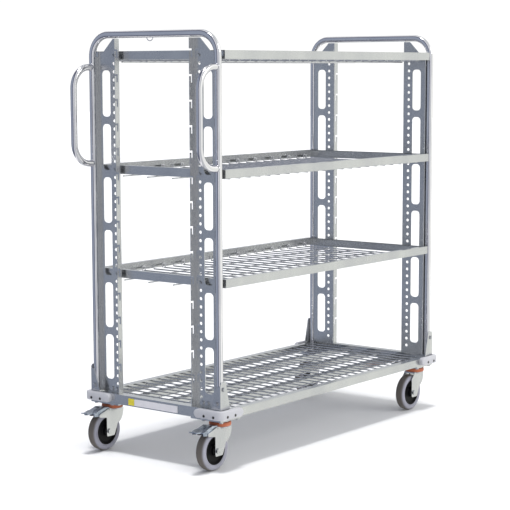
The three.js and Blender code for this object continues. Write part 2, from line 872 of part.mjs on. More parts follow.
for (const { name, alongX, alongY } of corners) {
  const corner = new THREE.Group();
  corner.scale.set(alongX, alongY, 1);
  trolley.add(corner);
  place("upright_" + name, upright(), zinc, corner);
  place("foot_bracket_" + name, footBracket(), zinc, corner);
  place("bumper_" + name, bumper(), greyPlastic, corner);
  place("castor_plate_" + name, castorPlate(), zinc, corner).position.set(swivelX, swivelY, 0);

  const castor = new THREE.Group();
  castor.position.set(alongX * swivelX, alongY * swivelY, 0);
  trolley.add(castor);
  const braked = alongX < 0;
  place("castor_seal_" + name, seal(), orangeSeal, castor);
  place("castor_fork_" + name, fork(braked), zinc, castor);
  place("castor_axle_" + name, axle(), zincTube, castor);
  place("wheel_hub_" + name, hub(), blackPlastic, castor);
  place("wheel_tyre_" + name, tyre(), tyreRubber, castor);
  if (braked) {
    place("brake_pedal_" + name, pedal(), zinc, castor);
    place("brake_pin_" + name, pedalPin(), zincTube, castor);
  }
}

for (const { name, holesBelowTop } of shelves) {
  const pinZ = topHoleZ - holesBelowTop * pinHolePitch - pinDrop;
  place("shelf_" + name + "_rim", shelfRim(pinZ), zinc);
  place("shelf_" + name + "_grid", shelfGrid(pinZ), zincWire);
}

const labelBottom = railBottom + labelLift;
const labelOuterX = -(railInnerX + railWall + touchGap);
const labelBox = [labelFrom, labelTo, labelBottom, labelBottom + labelHeight];
place("label_plate", box(labelOuterX - labelWall, labelOuterX, ...labelBox), labelFilm);

const hookTop = barUnderside - touchGap;
const hookLine = [
  new THREE.Vector3(0, 0, hookTop),
  new THREE.Vector3(0, 0, hookTop - hookDrop),
  new THREE.Vector3(0, hookWidth, hookTop - hookDrop),
  new THREE.Vector3(0, hookWidth, hookTop - hookDrop / 2),
];
place("wire_hook", bentBar(bentRoute(hookLine, hookWire, 2), hookWire / 2, 6), zincTube).position.x =
  -hoopHalfX;

// The origin is the middle of the whole trolley's footprint, handles and bumpers included.
trolley.position.x = (handleAxisX + handleTube / 2 - bumperOuterX) / 2;

export default trolley;
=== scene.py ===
"""Looks of a wire-shelf plant trolley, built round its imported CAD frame. Metres, +Z up."""

import logging
import math
from dataclasses import dataclass, field
from enum import Enum
from typing import Callable, Iterable, Sequence

import bmesh
import bpy
from mathutils import Euler, Matrix, Vector

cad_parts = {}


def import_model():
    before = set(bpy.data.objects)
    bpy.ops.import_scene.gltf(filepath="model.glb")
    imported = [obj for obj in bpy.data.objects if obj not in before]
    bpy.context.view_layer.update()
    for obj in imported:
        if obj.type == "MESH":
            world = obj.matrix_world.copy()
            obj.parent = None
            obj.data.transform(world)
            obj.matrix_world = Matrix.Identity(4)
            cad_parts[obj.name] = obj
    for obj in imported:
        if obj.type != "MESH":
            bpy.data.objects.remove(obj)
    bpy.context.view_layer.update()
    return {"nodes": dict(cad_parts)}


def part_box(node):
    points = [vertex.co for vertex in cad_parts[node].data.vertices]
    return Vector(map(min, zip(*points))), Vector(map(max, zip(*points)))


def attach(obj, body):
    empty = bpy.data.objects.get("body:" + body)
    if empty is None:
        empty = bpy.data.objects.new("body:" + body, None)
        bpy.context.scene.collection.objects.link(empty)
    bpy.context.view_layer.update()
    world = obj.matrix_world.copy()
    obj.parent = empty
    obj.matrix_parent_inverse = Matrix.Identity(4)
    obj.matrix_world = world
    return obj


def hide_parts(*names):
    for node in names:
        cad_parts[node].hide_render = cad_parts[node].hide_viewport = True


log = logging.getLogger("plant_trolley")
MM = 0.001
Point2 = tuple[float, float]
Nodes = bpy.types.Nodes
Socket = bpy.types.NodeSocket
PIN_HOLE_INSET = 23 * MM


class Lay(Enum):
    """How a flat plate's own (x, y, thickness) axes lie in the trolley's frame."""

    ACROSS = "yzx"
    ALONG = "xzy"
    LEVEL = "xyz"


class Slot(Enum):
    """The material slots of the record."""

    SHEET = "zinc_sheet"
    TUBE = "zinc_tube"
    WIRE = "zinc_wire"
    BRAKE = "brake_metal"
    BUMPER = "grey_plastic"
    HUB = "black_hub"
    TYRE = "grey_tyre"
    SEAL = "orange_seal"
    LABEL = "label_film"


# ---- Finishes ----


@dataclass(frozen=True)
class Finish:
    """A surface finish, made of one shader with mottled colour, roughness and relief.

    The mottling is noise on the coordinates of `source`, stretched along Z by `stretch`.
    """

    name: str
    base: tuple[float, float, float]
    shade: tuple[float, float, float]
    metallic: float = 0.0
    rough: tuple[float, float] = (0.4, 0.5)
    mottle_scale: float = 30.0
    stretch: float = 1.0
    grain_scale: float = 900.0
    relief: float = 0.02
    coat: float = 0.0
    specular: float = 0.5
    source: str = "Object"

    def build(self) -> bpy.types.Material:
        """Makes the material.

        Returns:
            The finished material.
        """
        material = bpy.data.materials.new(self.name)
        material.use_nodes = True
        nodes = material.node_tree.nodes
        link = material.node_tree.links.new
        shader = nodes["Principled BSDF"]
        shader.inputs["Metallic"].default_value = self.metallic
        shader.inputs["Coat Weight"].default_value = self.coat
        shader.inputs["Specular IOR Level"].default_value = self.specular
        place = self._coordinates(nodes, link)
        mottle = self._noise(nodes, link, place, self.mottle_scale, 4.0)
        colours = nodes.new("ShaderNodeValToRGB")
        colours.color_ramp.elements[0].position = 0.32
        colours.color_ramp.elements[0].color = (*self.shade, 1)
        colours.color_ramp.elements[1].position = 0.68
        colours.color_ramp.elements[1].color = (*self.base, 1)
        link(mottle.outputs["Fac"], colours.inputs["Fac"])
        self._colour(nodes, link, colours.outputs["Color"], shader)
        gloss = nodes.new("ShaderNodeMapRange")
        gloss.inputs["To Min"].default_value = self.rough[0]
        gloss.inputs["To Max"].default_value = self.rough[1]
        smear = self._noise(nodes, link, place, self.mottle_scale * 3.1, 3.0)
        link(smear.outputs["Fac"], gloss.inputs["Value"])
        link(gloss.outputs["Result"], shader.inputs["Roughness"])
        grain = self._noise(nodes, link, place, self.grain_scale, 2.0)
        bump = nodes.new("ShaderNodeBump")
        bump.inputs["Strength"].default_value = self.relief
        bump.inputs["Distance"].default_value = 0.001
        link(grain.outputs["Fac"], bump.inputs["Height"])
        link(bump.outputs["Normal"], shader.inputs["Normal"])
        return material

    def _coordinates(self, nodes: Nodes, link: Callable) -> Socket:
        """Gives the stretched coordinates that every pattern reads.

        Args:
            nodes: The material's nodes.
            link: The call that links two sockets.

        Returns:
            The coordinates.
        """
        mapping = nodes.new("ShaderNodeMapping")
        mapping.inputs["Scale"].default_value = (1, 1, 1 / self.stretch)
        if self.source == "Object":
            where = nodes.new("ShaderNodeTexCoord").outputs["Object"]
        else:
            attribute = nodes.new("ShaderNodeAttribute")
            attribute.attribute_name = self.source
            where = attribute.outputs["Vector"]
        link(where, mapping.inputs["Vector"])
        return mapping.outputs["Vector"]

    def _colour(self, nodes: Nodes, link: Callable, mottled: Socket, shader: bpy.types.Node) -> None:
        """Joins the mottled colour to the shader."""
        link(mottled, shader.inputs["Base Color"])

    @staticmethod
    def _noise(
        nodes: Nodes, link: Callable, place: Socket, scale: float, detail: float
    ) -> bpy.types.Node:
        """Adds a noise texture.

        Args:
            nodes: The material's nodes.
            link: The call that links two sockets.
            place: The coordinates that it reads.
            scale: Its scale.
            detail: Its detail.

        Returns:
            The texture's node.
        """
        noise = nodes.new("ShaderNodeTexNoise")
        noise.inputs["Scale"].default_value = scale
        noise.inputs["Detail"].default_value = detail
        link(place, noise.inputs["Vector"])
        return noise


@dataclass(frozen=True)
class ZonedFinish(Finish):
    """A finish whose colour changes where the mesh attribute `Zone` rises from 0 to 1."""

    zone_colour: tuple[float, float, float] = (0.2, 0.2, 0.2)

    def _colour(self, nodes: Nodes, link: Callable, mottled: Socket, shader: bpy.types.Node) -> None:
        """Mixes the zone's colour in before the shader.

        Args:
            nodes: The material's nodes.
            link: The call that links two sockets.
            mottled: The mottled colour.
            shader: The shader that takes the colour.
        """
        zone = nodes.new("ShaderNodeAttribute")
        zone.attribute_name = "Zone"
        mix = nodes.new("ShaderNodeMix")
        mix.data_type = "RGBA"
        link(zone.outputs["Fac"], mix.inputs["Factor"])
        link(mottled, mix.inputs["A"])
        mix.inputs["B"].default_value = (*self.zone_colour, 1)
        link(mix.outputs["Result"], shader.inputs["Base Color"])


FINISHES: dict[Slot, Finish] = {
    Slot.SHEET: Finish(
        "satin_zinc_sheet", (0.6, 0.61, 0.61), (0.52, 0.53, 0.545), 0.95, (0.22, 0.3), 9, 4.0, 250, 0.004,
    ),
    Slot.TUBE: Finish(
        "bright_zinc_tube", (0.82, 0.82, 0.83), (0.68, 0.68, 0.71), 1.0, (0.06, 0.16), 60, 9.0, 500, 0.02,
        source="Flow",
    ),
    Slot.WIRE: Finish(
        "zinc_wire", (0.58, 0.59, 0.6), (0.47, 0.48, 0.5), 0.94, (0.18, 0.32), 80, 1.0, 900, 0.02
    ),
    Slot.BRAKE: Finish(
        "pressed_zinc", (0.5, 0.55, 0.62), (0.26, 0.3, 0.37), 0.95, (0.14, 0.28), 45, 1.0, 700, 0.03
    ),
    Slot.BUMPER: Finish(
        "grey_moulding", (0.55, 0.55, 0.58), (0.5, 0.5, 0.53), 0.0, (0.48, 0.6), 18, 1.0, 1500, 0.08
    ),
    Slot.HUB: Finish(
        "black_moulding", (0.0015, 0.0015, 0.002), (0.004, 0.004, 0.005), 0.0, (0.35, 0.5), 35, 1.0, 1200,
        0.05, specular=0.12,
    ),
    Slot.TYRE: ZonedFinish(
        "grey_rubber", (0.36, 0.36, 0.42), (0.29, 0.29, 0.34), 0.0, (0.55, 0.75), 25, 1.0, 1100, 0.12,
        zone_colour=(0.13, 0.115, 0.1),
    ),
    Slot.SEAL: Finish(
        "orange_moulding", (0.55, 0.15, 0.06), (0.42, 0.1, 0.04), 0.0, (0.4, 0.5), 40, 1.0, 900, 0.04
    ),
    Slot.LABEL: Finish(
        "white_film", (0.78, 0.76, 0.79), (0.7, 0.69, 0.72), 0.0, (0.3, 0.38), 30, 1.0, 600, 0.01, coat=0.3
    ),
}
YELLOW_FILM = Finish(
    "yellow_film", (0.8, 0.68, 0.03), (0.68, 0.56, 0.02), 0.0, (0.32, 0.4), 40, 1.0, 600, 0.01, coat=0.3
)
DARK_STEEL = Finish(
    "dark_screw_steel", (0.06, 0.06, 0.055), (0.03, 0.03, 0.03), 0.8, (0.35, 0.5), 90, 1.0, 900, 0.03
)


class Palette:
    """Builds each finish once, on first use."""

    def __init__(self) -> None:
        """Starts with no material made."""
        self._made: dict[str, bpy.types.Material] = {}

    def of(self, slot: Slot) -> bpy.types.Material:
        """Gives the material of a record slot."""
        return self.make(FINISHES[slot])

    def make(self, finish: Finish) -> bpy.types.Material:
        """Gives the material of a finish.

        Args:
            finish: The finish wanted.

        Returns:
            Its material, the same one each time.
        """
        if finish.name not in self._made:
            self._made[finish.name] = finish.build()
        return self._made[finish.name]


# ---- Mesh work ----


def rounded_route(corners: Sequence[Vector], bend: float, steps: int) -> list[Vector]:
    """Rounds each inner corner of a route to one bend radius.

    Args:
        corners: The route's corners, in order.
        bend: The bend radius.
        steps: How many steps each bend takes.

    Returns:
        The route's points.
    """
    route = [corners[0]]
    for before, corner, after in zip(corners, corners[1:], corners[2:]):
        back = (before - corner).normalized()
        onward = (after - corner).normalized()
        half = back.angle(onward) / 2
        centre = corner + (back + onward).normalized() * (bend / math.sin(half))
        start = corner + back * (bend / math.tan(half)) - centre
        axis = onward.cross(back).normalized()
        sweep = math.pi - 2 * half
        for step in range(steps + 1):
            route.append(centre + Matrix.Rotation(sweep * step / steps, 3, axis) @ start)
    route.append(corners[-1])
    return route


def rounded_outline(corners: Sequence[Point2], radius: float, steps: int = 4) -> list[Point2]:
    """Rounds every corner of a closed outline, less where a side is short.

    Args:
        corners: The outline's corners, in order.
        radius: The largest corner radius.
        steps: How many steps each corner takes.

    Returns:
        The outline's points.
    """
    points: list[Point2] = []
    count = len(corners)
    for i, corner in enumerate(corners):
        here = Vector(corner)
        back = Vector(corners[i - 1]) - here
        onward = Vector(corners[(i + 1) % count]) - here
        reach = min(radius, 0.45 * back.length, 0.45 * onward.length)
        start = here + back.normalized() * reach
        end = here + onward.normalized() * reach
        for step in range(steps + 1):
            t = step / steps
            point = start.lerp(here, t).lerp(here.lerp(end, t), t)
            points.append((point.x, point.y))
    return points


def mesh_object(name: str, mesh: bpy.types.Mesh) -> bpy.types.Object:
    """Wraps a mesh in an object of the scene.

    Args:
        name: The object's name.
        mesh: Its mesh.

    Returns:
        The object.
    """
    piece = bpy.data.objects.new(name, mesh)
    bpy.context.scene.collection.objects.link(piece)
    return piece


def tidy_mesh(mesh: bpy.types.Mesh, angle: float = 35.0) -> bpy.types.Mesh:
    """Merges doubles, turns faces outwards and shades smooth up to an angle.

    Args:
        mesh: The mesh to tidy.
        angle: The sharpest edge, in degrees, that is shaded smooth.

    Returns:
        The same mesh.
    """
    work = bmesh.new()
    work.from_mesh(mesh)
    bmesh.ops.remove_doubles(work, verts=work.verts, dist=1e-6)
    bmesh.ops.recalc_face_normals(work, faces=work.faces)
    work.to_mesh(mesh)
    work.free()
    mesh.polygons.foreach_set("use_smooth", [True] * len(mesh.polygons))
    mesh.set_sharp_from_angle(angle=math.radians(angle))
    return mesh


def mesh_of(name: str, vertices: Sequence, faces: Sequence, angle: float = 35.0) -> bpy.types.Mesh:
    """Makes a tidy mesh.

    Args:
        name: The mesh's name.
        vertices: Its points.
        faces: Its faces, as the numbers of their points.
        angle: The sharpest edge, in degrees, that is shaded smooth.

    Returns:
        The mesh.
    """
    mesh = bpy.data.meshes.new(name)
    mesh.from_pydata([tuple(v) for v in vertices], [], faces)
    return tidy_mesh(mesh, angle)


def baked(piece: bpy.types.Object) -> bpy.types.Mesh:
    """Turns an object with live modifiers into a plain mesh and removes the object.

    Args:
        piece: The object to bake.

    Returns:
        A mesh that stands by itself.
    """
    graph = bpy.context.evaluated_depsgraph_get()
    mesh = bpy.data.meshes.new_from_object(piece.evaluated_get(graph), depsgraph=graph)
    old = piece.data
    bpy.data.objects.remove(piece)
    if old.users == 0:
        bpy.data.meshes.remove(old)
    return mesh


def joined(name: str, meshes: Iterable[bpy.types.Mesh], angle: float = 35.0) -> bpy.types.Mesh:
    """Joins meshes into one, with the material slots of each in turn.

    Args:
        name: The new mesh's name.
        meshes: The meshes, which are used up.
        angle: The sharpest edge, in degrees, that is shaded smooth.

    Returns:
        The joined mesh.
    """
    whole = bpy.data.meshes.new(name)
    work = bmesh.new()
    for mesh in meshes:
        offset = len(whole.materials)
        for material in mesh.materials:
            whole.materials.append(material)
        before = len(work.faces)
        work.from_mesh(mesh)
        work.faces.ensure_lookup_table()
        for face in work.faces[before:]:
            face.material_index += offset
        bpy.data.meshes.remove(mesh)
    work.to_mesh(whole)
    work.free()
    whole.polygons.foreach_set("use_smooth", [True] * len(whole.polygons))
    whole.set_sharp_from_angle(angle=math.radians(angle))
    return whole


def bevelled(mesh: bpy.types.Mesh, width: float, segments: int = 2) -> bpy.types.Mesh:
    """Rounds a mesh's sharp edges.

    Args:
        mesh: The mesh, which is used up.
        width: The width of the rounding.
        segments: How many faces it takes.

    Returns:
        The rounded mesh.
    """
    piece = mesh_object(mesh.name, mesh)
    modifier = piece.modifiers.new("edges", "BEVEL")
    modifier.width = width
    modifier.segments = segments
    modifier.limit_method = "ANGLE"
    modifier.angle_limit = math.radians(30)
    return tidy_mesh(baked(piece))


def swept(name: str, route: Sequence[Vector], radius: float, sides: int = 20) -> bpy.types.Mesh:
    """Sweeps a round section along a route, closed at both ends.

    The attribute `Flow` holds the place round and along the bar, for streaks that follow it.

    Args:
        name: The mesh's name.
        route: The centre line.
        radius: The bar's radius.
        sides: How many sides the section has.

    Returns:
        The bar's mesh.
    """
    tangents = [(b - a).normalized() for a, b in zip(route, route[1:])]
    normal = tangents[0].orthogonal().normalized()
    vertices: list[Vector] = []
    flow: list[tuple[float, float, float]] = []
    run = 0.0
    for i, point in enumerate(route):
        before = tangents[max(i - 1, 0)]
        after = tangents[min(i, len(tangents) - 1)]
        forward = (before + after).normalized()
        normal = (normal - forward * normal.dot(forward)).normalized()
        side = forward.cross(normal)
        run += (point - route[i - 1]).length if i else 0.0
        for k in range(sides):
            angle = 2 * math.pi * k / sides
            vertices.append(point + radius * (math.cos(angle) * normal + math.sin(angle) * side))
            flow.append((radius * math.cos(angle), radius * math.sin(angle), run))
    faces = []
    for i in range(len(route) - 1):
        for k in range(sides):
            low = i * sides
            near, far = low + k, low + (k + 1) % sides
            faces.append((near, far, far + sides, near + sides))
    faces.append(tuple(reversed(range(sides))))
    faces.append(tuple(range(len(vertices) - sides, len(vertices))))
    mesh = bpy.data.meshes.new(name)
    mesh.from_pydata([tuple(v) for v in vertices], [], faces)
    attribute = mesh.attributes.new("Flow", "FLOAT_VECTOR", "POINT")
    attribute.data.foreach_set("vector", [value for place in flow for value in place])
    return tidy_mesh(mesh)


def turned(
    name: str,
    profile: Sequence[Point2],
    place: Matrix,
    sides: int = 64,
    zones: Sequence[float] | None = None,
    angle: float = 35.0,
) -> bpy.types.Mesh:
    """Turns a closed profile of (radius, along) about a local Z axis.

    Args:
        name: The mesh's name.
        profile: The closed profile.
        place: Where the local frame goes.
        sides: How many sides it has.
        zones: A value from 0 to 1 for each profile point, kept in the attribute `Zone`.
        angle: The sharpest edge, in degrees, that is shaded smooth.

    Returns:
        The turned mesh.
    """
    count = len(profile)
    vertices = []
    for k in range(sides):
        turn = 2 * math.pi * k / sides
        for radius, along in profile:
            vertices.append(place @ Vector((radius * math.cos(turn), radius * math.sin(turn), along)))
    faces = []
    for k in range(sides):
        here, there = k * count, (k + 1) % sides * count
        for i in range(count):
            j = (i + 1) % count
            faces.append((here + i, there + i, there + j, here + j))
    mesh = mesh_of(name, vertices, faces, angle)
    if zones:
        attribute = mesh.attributes.new("Zone", "FLOAT", "POINT")
        attribute.data.foreach_set("value", list(zones) * sides)
    return mesh


# ---- Geometry Nodes ----


class Grower:
    """A Geometry Nodes tree that is built in the script, run once and turned into a plain mesh."""

    def __init__(self, name: str, inputs: dict[str, str]) -> None:
        """Starts a tree.

        Args:
            name: The tree's name.
            inputs: The kind of socket of each named input.
        """
        self.tree = bpy.data.node_groups.new(name, "GeometryNodeTree")
        face = self.tree.interface
        face.new_socket("Geometry", in_out="INPUT", socket_type="NodeSocketGeometry")
        face.new_socket("Geometry", in_out="OUTPUT", socket_type="NodeSocketGeometry")
        self.sockets = {
            label: face.new_socket(label, in_out="INPUT", socket_type="NodeSocket" + kind).identifier
            for label, kind in inputs.items()
        }
        self.given = self.tree.nodes.new("NodeGroupInput")

    def add(self, kind: str, links: dict | None = None, **settings) -> bpy.types.Node:
        """Adds a node.

        Args:
            kind: The node's type, without its common prefix.
            links: What each input takes: an output, the name of a tree input, or a value.
            settings: The node's own properties.

        Returns:
            The node.
        """
        prefix = "" if kind.startswith(("Shader", "Function")) else "GeometryNode"
        node = self.tree.nodes.new(prefix + kind)
        for label, value in settings.items():
            setattr(node, label, value)
        for label, value in (links or {}).items():
            self._feed(node.inputs[label], value)
        return node

    def _feed(self, socket: Socket, value: object) -> None:
        """Gives an input what it takes.

        Args:
            socket: The input.
            value: An output, a list of outputs, the name of a tree input, or a plain value.
        """
        if isinstance(value, str):
            self.tree.links.new(self.given.outputs[value], socket)
        elif isinstance(value, Socket):
            self.tree.links.new(value, socket)
        elif isinstance(value, list):
            for output in value:
                self.tree.links.new(output, socket)
        else:
            socket.default_value = value

    def end(self, geometry: Socket) -> None:
        """Ends the tree in real geometry with its material.

        Args:
            geometry: What the tree has made.
        """
        real = self.add("RealizeInstances", {"Geometry": geometry})
        dressed = self.add("SetMaterial", {"Geometry": real.outputs[0], "Material": "Material"})
        result = self.tree.nodes.new("NodeGroupOutput")
        self.tree.links.new(dressed.outputs[0], result.inputs["Geometry"])

    def grow(self, name: str, base: bpy.types.Mesh, values: dict) -> bpy.types.Mesh:
        """Runs the tree on a base mesh.

        Args:
            name: The name of what it makes.
            base: The mesh that it starts from, which is used up.
            values: The value of each named input.

        Returns:
            A plain mesh.
        """
        piece = mesh_object(name, base)
        modifier = piece.modifiers.new("grow", "NODES")
        modifier.node_group = self.tree
        for label, value in values.items():
            modifier[self.sockets[label]] = value
        piece.update_tag()
        bpy.context.view_layer.update()
        return tidy_mesh(baked(piece))


def edge_mesh(name: str, points: Sequence[Sequence[float]], closed: bool) -> bpy.types.Mesh:
    """Makes a mesh of edges only, for a tree to turn into a curve.

    Args:
        name: The mesh's name.
        points: The line's points, each with two or three coordinates.
        closed: Whether the last point joins the first.

    Returns:
        The mesh.
    """
    mesh = bpy.data.meshes.new(name)
    edges = [(i, i + 1) for i in range(len(points) - 1)]
    if closed:
        edges.append((len(points) - 1, 0))
    mesh.from_pydata([tuple(p) + (0,) * (3 - len(p)) for p in points], edges, [])
    return mesh


class PlateGrower(Grower):
    """Cuts a plate from an outline, with a row of round holes and a row of long slots in it."""

    def __init__(self) -> None:
        """Builds the tree."""
        super().__init__(
            "cut_plate",
            {
                "Thickness": "Float",
                "Hole Radius": "Float",
                "Hole Count": "Int",
                "Hole Pitch": "Vector",
                "Hole Origin": "Vector",
                "Slot Width": "Float",
                "Slot Length": "Float",
                "Slot Corner": "Float",
                "Slot Count": "Int",
                "Slot Pitch": "Vector",
                "Slot Origin": "Vector",
                "Material": "Material",
            },
        )
        rim = self.add("MeshToCurve", {"Mesh": "Geometry"})
        circle = self.add("CurvePrimitiveCircle", {"Resolution": 20, "Radius": "Hole Radius"})
        holes = self._row(circle.outputs["Curve"], "Hole")
        oblong = self.add(
            "CurvePrimitiveQuadrilateral", {"Width": "Slot Width", "Height": "Slot Length"}
        )
        soft = self.add(
            "FilletCurve",
            {"Curve": oblong.outputs[0], "Radius": "Slot Corner", "Limit Radius": True, "Count": 7},
            mode="POLY",
        )
        slots = self._row(soft.outputs[0], "Slot")
        outlines = self.add("JoinGeometry", {"Geometry": [rim.outputs[0], holes, slots]})
        flat = self.add("FillCurve", {"Curve": outlines.outputs[0]})
        rise = self.add("ShaderNodeCombineXYZ", {"Z": "Thickness"})
        thick = self.add(
            "ExtrudeMesh",
            {"Mesh": flat.outputs[0], "Offset": rise.outputs[0], "Offset Scale": 1.0, "Individual": False},
            mode="FACES",
        )
        under = self.add("FlipFaces", {"Mesh": flat.outputs[0]})
        whole = self.add("JoinGeometry", {"Geometry": [thick.outputs["Mesh"], under.outputs[0]]})
        merged = self.add("MergeByDistance", {"Geometry": whole.outputs[0], "Distance": 1e-6})
        self.end(merged.outputs[0])

    def _row(self, curve: Socket, kind: str) -> Socket:
        """Sets copies of a curve along a row.

        Args:
            curve: The curve.
            kind: The first word of the row's inputs.

        Returns:
            The row.
        """
        line = self.add(
            "MeshLine",
            {"Count": kind + " Count", "Start Location": kind + " Origin", "Offset": kind + " Pitch"},
            mode="OFFSET",
        )
        copies = self.add("InstanceOnPoints", {"Points": line.outputs[0], "Instance": curve})
        return self.add("RealizeInstances", {"Geometry": copies.outputs[0]}).outputs[0]


@dataclass(frozen=True)
class Row:
    """A row of holes or slots: how many, where the first one is and how far apart they are."""

    count: int = 0
    origin: tuple[float, float, float] = (0, 0, 0)
    pitch: tuple[float, float, float] = (0, 0.01, 0)
    width: float = 0.001
    length: float = 0.001
    corner: float = 0.0


class WireGrower(Grower):
    """Repeats a bent wire in a row, and lays straight runners across it."""

    def __init__(self) -> None:
        """Builds the tree."""
        super().__init__(
            "wire_grid",
            {
                "Wire Radius": "Float",
                "Bend Radius": "Float",
                "Count": "Int",
                "Pitch": "Vector",
                "Runner Start": "Vector",
                "Runner End": "Vector",
                "Runner Count": "Int",
                "Runner Pitch": "Vector",
                "Material": "Material",
            },
        )
        section = self.add("CurvePrimitiveCircle", {"Resolution": 10, "Radius": "Wire Radius"})
        bent = self.add(
            "FilletCurve",
            {
                "Curve": self.add("MeshToCurve", {"Mesh": "Geometry"}).outputs[0],
                "Radius": "Bend Radius",
                "Limit Radius": True,
                "Count": 3,
            },
            mode="POLY",
        )
        runner = self.add("CurvePrimitiveLine", {"Start": "Runner Start", "End": "Runner End"})
        rows = [
            self._repeat(bent.outputs[0], section.outputs[0], "Count", "Pitch"),
            self._repeat(runner.outputs[0], section.outputs[0], "Runner Count", "Runner Pitch"),
        ]
        self.end(self.add("JoinGeometry", {"Geometry": rows}).outputs[0])

    def _repeat(self, line: Socket, section: Socket, count: str, pitch: str) -> Socket:
        """Sweeps a line into wire and repeats it.

        Args:
            line: The wire's centre line.
            section: The wire's round section.
            count: The input that says how many wires there are.
            pitch: The input that says how far apart they are.

        Returns:
            The row of wires.
        """
        wire = self.add("CurveToMesh", {"Curve": line, "Profile Curve": section, "Fill Caps": True})
        points = self.add("MeshLine", {"Count": count, "Offset": pitch}, mode="OFFSET")
        spots = {"Points": points.outputs[0], "Instance": wire.outputs[0]}
        return self.add("InstanceOnPoints", spots).outputs[0]


class BoltGrower(Grower):
    """Sets a bolt head on a washer at each point, turned along the point's `Axis`."""

    def __init__(self) -> None:
        """Builds the tree."""
        super().__init__(
            "bolts",
            {
                "Head Sides": "Int",
                "Head Radius": "Float",
                "Head Height": "Float",
                "Washer Radius": "Float",
                "Washer Height": "Float",
                "Material": "Material",
            },
        )
        washer = self._disc(24, "Washer Radius", "Washer Height")
        head = self._disc("Head Sides", "Head Radius", "Head Height")
        lift = self.add("ShaderNodeCombineXYZ", {"Z": "Washer Height"})
        raised = self.add("Transform", {"Geometry": head, "Translation": lift.outputs[0]})
        bolt = self.add("JoinGeometry", {"Geometry": [washer, raised.outputs[0]]})
        axis = self.add("InputNamedAttribute", data_type="FLOAT_VECTOR")
        axis.inputs["Name"].default_value = "Axis"
        turn = self.add("FunctionNodeAlignRotationToVector", {"Vector": axis.outputs[0]}, axis="Z")
        copies = self.add(
            "InstanceOnPoints",
            {"Points": "Geometry", "Instance": bolt.outputs[0], "Rotation": turn.outputs[0]},
        )
        self.end(copies.outputs[0])

    def _disc(self, sides: int | str, radius: str, height: str) -> Socket:
        """Adds a disc that stands on the local floor.

        Args:
            sides: How many sides it has, or the input that says so.
            radius: The input with its radius.
            height: The input with its height.

        Returns:
            The disc.
        """
        disc = self.add("MeshCylinder", {"Vertices": sides, "Radius": radius, "Depth": height})
        half = self.add("ShaderNodeMath", {0: height, 1: 0.5}, operation="MULTIPLY")
        lift = self.add("ShaderNodeCombineXYZ", {"Z": half.outputs[0]})
        stood = self.add("Transform", {"Geometry": disc.outputs["Mesh"], "Translation": lift.outputs[0]})
        return stood.outputs[0]


